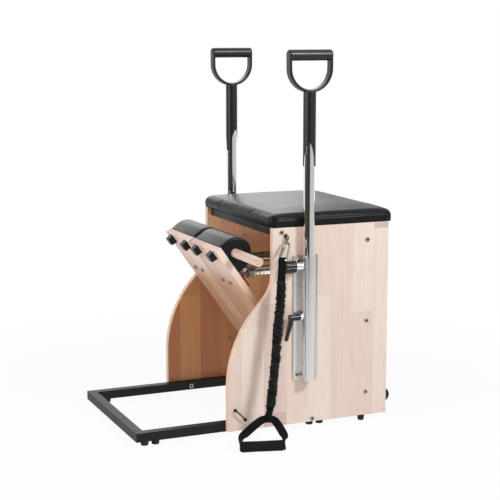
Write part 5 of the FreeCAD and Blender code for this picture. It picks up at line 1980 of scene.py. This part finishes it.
@dataclass
class Studio:
    """Camera at the photograph's angle, pale floor and soft light."""

    eye: Point = (3.4550, -1.4398, 1.0963)
    azimuth: float = 66.739
    elevation: float = 9.373
    roll: float = -0.042
    lens: float = 93.63
    key_power: float = 60.0
    front_power: float = 66.0
    near_power: float = 23.0
    back_power: float = 12.5
    inner_power: float = 0.95
    fill: float = 0.18
    cool: Colour = (0.9, 1.0, 1.06)
    warm: Colour = (1.0, 0.86, 0.74)
    faint: Colour = (1.0, 0.94, 0.88)
    white: Colour = (1.0, 1.0, 1.0)
    backdrop: float = 1.0
    floor_size: float = 4.6
    floor_glow: float = 0.94
    floor_fade: tuple[float, float] = (0.6, 1.7)
    wall_way: tuple[float, float] = (0.438, 0.899)
    wall_edge: tuple[float, float] = (0.52, 0.62)
    wall_dark: float = 0.92
    dim_dark: float = 0.4

    def build(self) -> None:
        """Set up the camera, the floor, the lamps and the world."""
        bpy.context.scene.view_settings.view_transform = "Standard"
        self._camera()
        self._floor()
        aim = (0.0, 0.0, 0.35)
        self._lamp("key", (2.45, 1.15, 2.35), (0.1, 0.0, 0.35), 0.55, self.key_power, self.cool)
        self._lamp("front", (0.5, -3.3, 1.45), aim, 1.8, self.front_power, self.faint)
        near = self._lamp("near", (3.1, -1.4, 0.95), (0.0, 0.1, 0.45), 0.8, self.near_power, self.warm)
        near.visible_glossy = False
        aim = (-0.05, 0.12, 0.6)
        self._lamp("back", (-2.1, 0.55, 1.55), aim, 1.4, self.back_power, self.white)
        aim = (-0.235, 0.13, 0.47)
        self._lamp("inner", (0.2, 0.13, 0.42), aim, 0.16, self.inner_power, self.white)
        self._world()

    def _camera(self) -> None:
        """Place the camera."""
        data = bpy.data.cameras.new("camera")
        data.lens = self.lens
        data.sensor_width = 36.0
        camera = bpy.data.objects.new("camera", data)
        bpy.context.collection.objects.link(camera)
        a, e = math.radians(self.azimuth), math.radians(self.elevation)
        back = Vector((math.sin(a) * math.cos(e), -math.cos(a) * math.cos(e), math.sin(e)))
        turn = (-back).to_track_quat("-Z", "Y").to_matrix().to_4x4()
        roll = Matrix.Rotation(math.radians(self.roll), 4, "Z")
        camera.matrix_world = Matrix.Translation(self.eye) @ turn @ roll
        bpy.context.scene.camera = camera

    def _lamp(
        self, name: str, place: Point, aim: Point, size: float, power: float, tone: Colour
    ) -> bpy.types.Object:
        """Add a soft lamp.

        Args:
            name: Its name.
            place: Where it stands.
            aim: What it points at.
            size: Width of its face.
            power: Its power in watts.
            tone: Its colour.

        Returns:
            The lamp.
        """
        data = bpy.data.lights.new(name, "AREA")
        data.energy = power
        data.color = tone
        data.size = size
        lamp = bpy.data.objects.new(name, data)
        bpy.context.collection.objects.link(lamp)
        turn = (Vector(aim) - Vector(place)).to_track_quat("-Z", "Y").to_matrix().to_4x4()
        lamp.matrix_world = Matrix.Translation(place) @ turn
        lamp.visible_camera = False
        return lamp

    def _floor(self) -> None:
        """Lay the pale floor, which keeps the chair's soft shadow."""
        Bench.clear()
        bpy.ops.mesh.primitive_plane_add(size=self.floor_size, location=(0, 0, 0))
        floor = bpy.context.object
        floor.name = "studio_floor"
        paint = Paint("studio_floor")
        plain = paint.node("ShaderNodeBsdfDiffuse", {}, {"Color": (0.86, 0.86, 0.86, 1)})
        glow = paint.node("ShaderNodeEmission", {}, {"Color": (1, 1, 1, 1), "Strength": 1.0})
        x, y, _ = paint.split(paint.place())
        far = (x * x + y * y).root().ramp_up(*self.floor_fade)
        share = far * (1 - self.floor_glow) + self.floor_glow
        camera, glossy = self._rays(paint)
        seen = camera.most(glossy) * share
        both = paint.node("ShaderNodeMixShader", {}, {0: seen, 1: plain, 2: glow})
        paint.node("ShaderNodeOutputMaterial", {}, {"Surface": both})
        floor.data.materials.append(paint.owner)

    @staticmethod
    def _rays(paint: Paint) -> tuple[Val, Val]:
        """Whether a ray comes from the camera, and whether from a gloss or through glass."""
        path = paint.node("ShaderNodeLightPath", out="Is Camera Ray").socket.node
        kinds = ("Is Camera Ray", "Is Glossy Ray", "Is Transmission Ray")
        camera, glossy, through = (Val(paint, path.outputs[kind]) for kind in kinds)
        return camera, glossy.most(through)

    def _world(self) -> None:
        """White backdrop, with a dim wall and a dark one beside the camera that only gloss shows."""
        world = bpy.data.worlds.new("studio")
        bpy.context.scene.world = world
        paint = Paint("studio", world)
        way = paint.node("ShaderNodeTexCoord", out="Generated")
        x, y, z = paint.split(way)
        dark = (x * self.wall_way[0] - y * self.wall_way[1]).ramp_up(*self.wall_edge)
        dim = x.ramp_up(-0.2, 0.35) * (1 - z.ramp_up(0.35, 0.7))
        camera, glossy = self._rays(paint)
        shine = (1 - dim * self.dim_dark) * (1 - dark * self.wall_dark) * glossy * (1 - camera)
        plain = 1 - glossy.most(camera)
        strength = camera * self.backdrop + shine + plain * self.fill
        tone = paint.mix(plain.most(dark * glossy), self.white, self.warm)
        sky = paint.node("ShaderNodeBackground", {}, {"Color": tone, "Strength": strength})
        paint.node("ShaderNodeOutputWorld", {}, {"Surface": sky})


# The chair


class Chair:
    """The whole chair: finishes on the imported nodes, and the pieces that replace the soft ones."""

    def __init__(self, nodes: Mapping[str, bpy.types.Object]) -> None:
        """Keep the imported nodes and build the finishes.

        Args:
            nodes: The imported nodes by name.
        """
        self.nodes = nodes
        self.finishes = Finishes()

    def straps(self) -> list[Strap]:
        """The straps of both sides."""
        right = Strap(
            self.finishes,
            Side.RIGHT,
            snap_end=(0.293, 0.015, 0.497),
            route=(
                (0.300, 0.0095, 0.441),
                (0.304, 0.0048, 0.3865),
                (0.309, -0.0062, 0.305),
                (0.316, -0.0151, 0.2236),
                (0.322, -0.0251, 0.156),
                (0.330, -0.0375, 0.089),
            ),
            apex=(0.338, -0.048, 0.071),
            handle=(0.402, -0.091, 0.015),
            yaw=15.0,
            seed=2.7,
        )
        left = Strap(
            self.finishes,
            Side.LEFT,
            snap_end=(0.292, 0.046, 0.497),
            route=(
                (0.306, 0.034, 0.441),
                (0.311, 0.013, 0.3865),
                (0.313, 0.003, 0.305),
                (0.316, 0.001, 0.2236),
                (0.322, 0.006, 0.156),
                (0.330, 0.015, 0.089),
            ),
            apex=(0.338, 0.022, 0.071),
            handle=(0.402, 0.060, 0.015),
            yaw=-8.0,
            seed=7.9,
        )
        return [right, left]

    def build(self) -> None:
        """Build every piece in order."""
        straps = self.straps()
        for strap in straps:
            pieces = strap.build()
            if strap.side is Side.RIGHT:
                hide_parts("strap_handles")
        StrapHooks(self.finishes, straps).build()
        Seat(self.finishes).build()
        for side in Side:
            PedalPad(self.finishes, side).build()
            Springs(self.finishes, side).build()
        CrossHeads(self.finishes).build()
        self.dress_nodes()

    def dress_nodes(self) -> None:
        """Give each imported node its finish."""
        f = self.finishes
        shared = {
            "back_panel": f.back,
            "seat_rail": f.rail,
            "seat_board": f.lining,
            "floor_frame": f.frame,
            "frame_end_caps": f.plastic,
            "rubber_feet": f.rubber,
            "nuts": f.zinc,
            "pedal_axle": f.zinc,
            "axle_spacers": f.plastic,
            "spring_hook_plate": f.black_steel,
            "hook_plate_screws": f.zinc,
            "clamp_bosses": f.chrome,
            "wheel_forks": f.black_steel,
            "strap_anchors": f.black_steel,
            "link_dowel": f.dowel,
        }
        sided = {
            "side_panel": f.panel,
            "pole_socket": f.aluminium,
            "pedal_board": f.board,
            "pedal_bumpers": f.bumper,
            "pedal_hinge": f.black_steel,
            "spring_eyes": f.zinc,
            "spring_clips": f.red,
            "spring_sleeves": f.spring,
            "pole": f.chrome,
            "pole_grip": f.grip,
            "clamp_knob": f.knob,
            "knob_screw": f.zinc,
            "clamp_lever": f.knob,
            "lever_screw": f.zinc,
            "transport_wheel": f.rubber,
        }
        for side in Side:
            shared.update({"%s_%s" % (side.word, name): finish for name, finish in sided.items()})
        for name, finish in shared.items():
            node = self.nodes[name]
            node.data.materials.clear()
            node.data.materials.append(finish)


def main() -> None:
    """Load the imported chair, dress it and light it."""
    logging.basicConfig(level=logging.INFO, format="%(message)s")
    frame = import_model()
    Studio().build()
    Chair(frame["nodes"]).build()


if __name__ == "__main__":
    main()
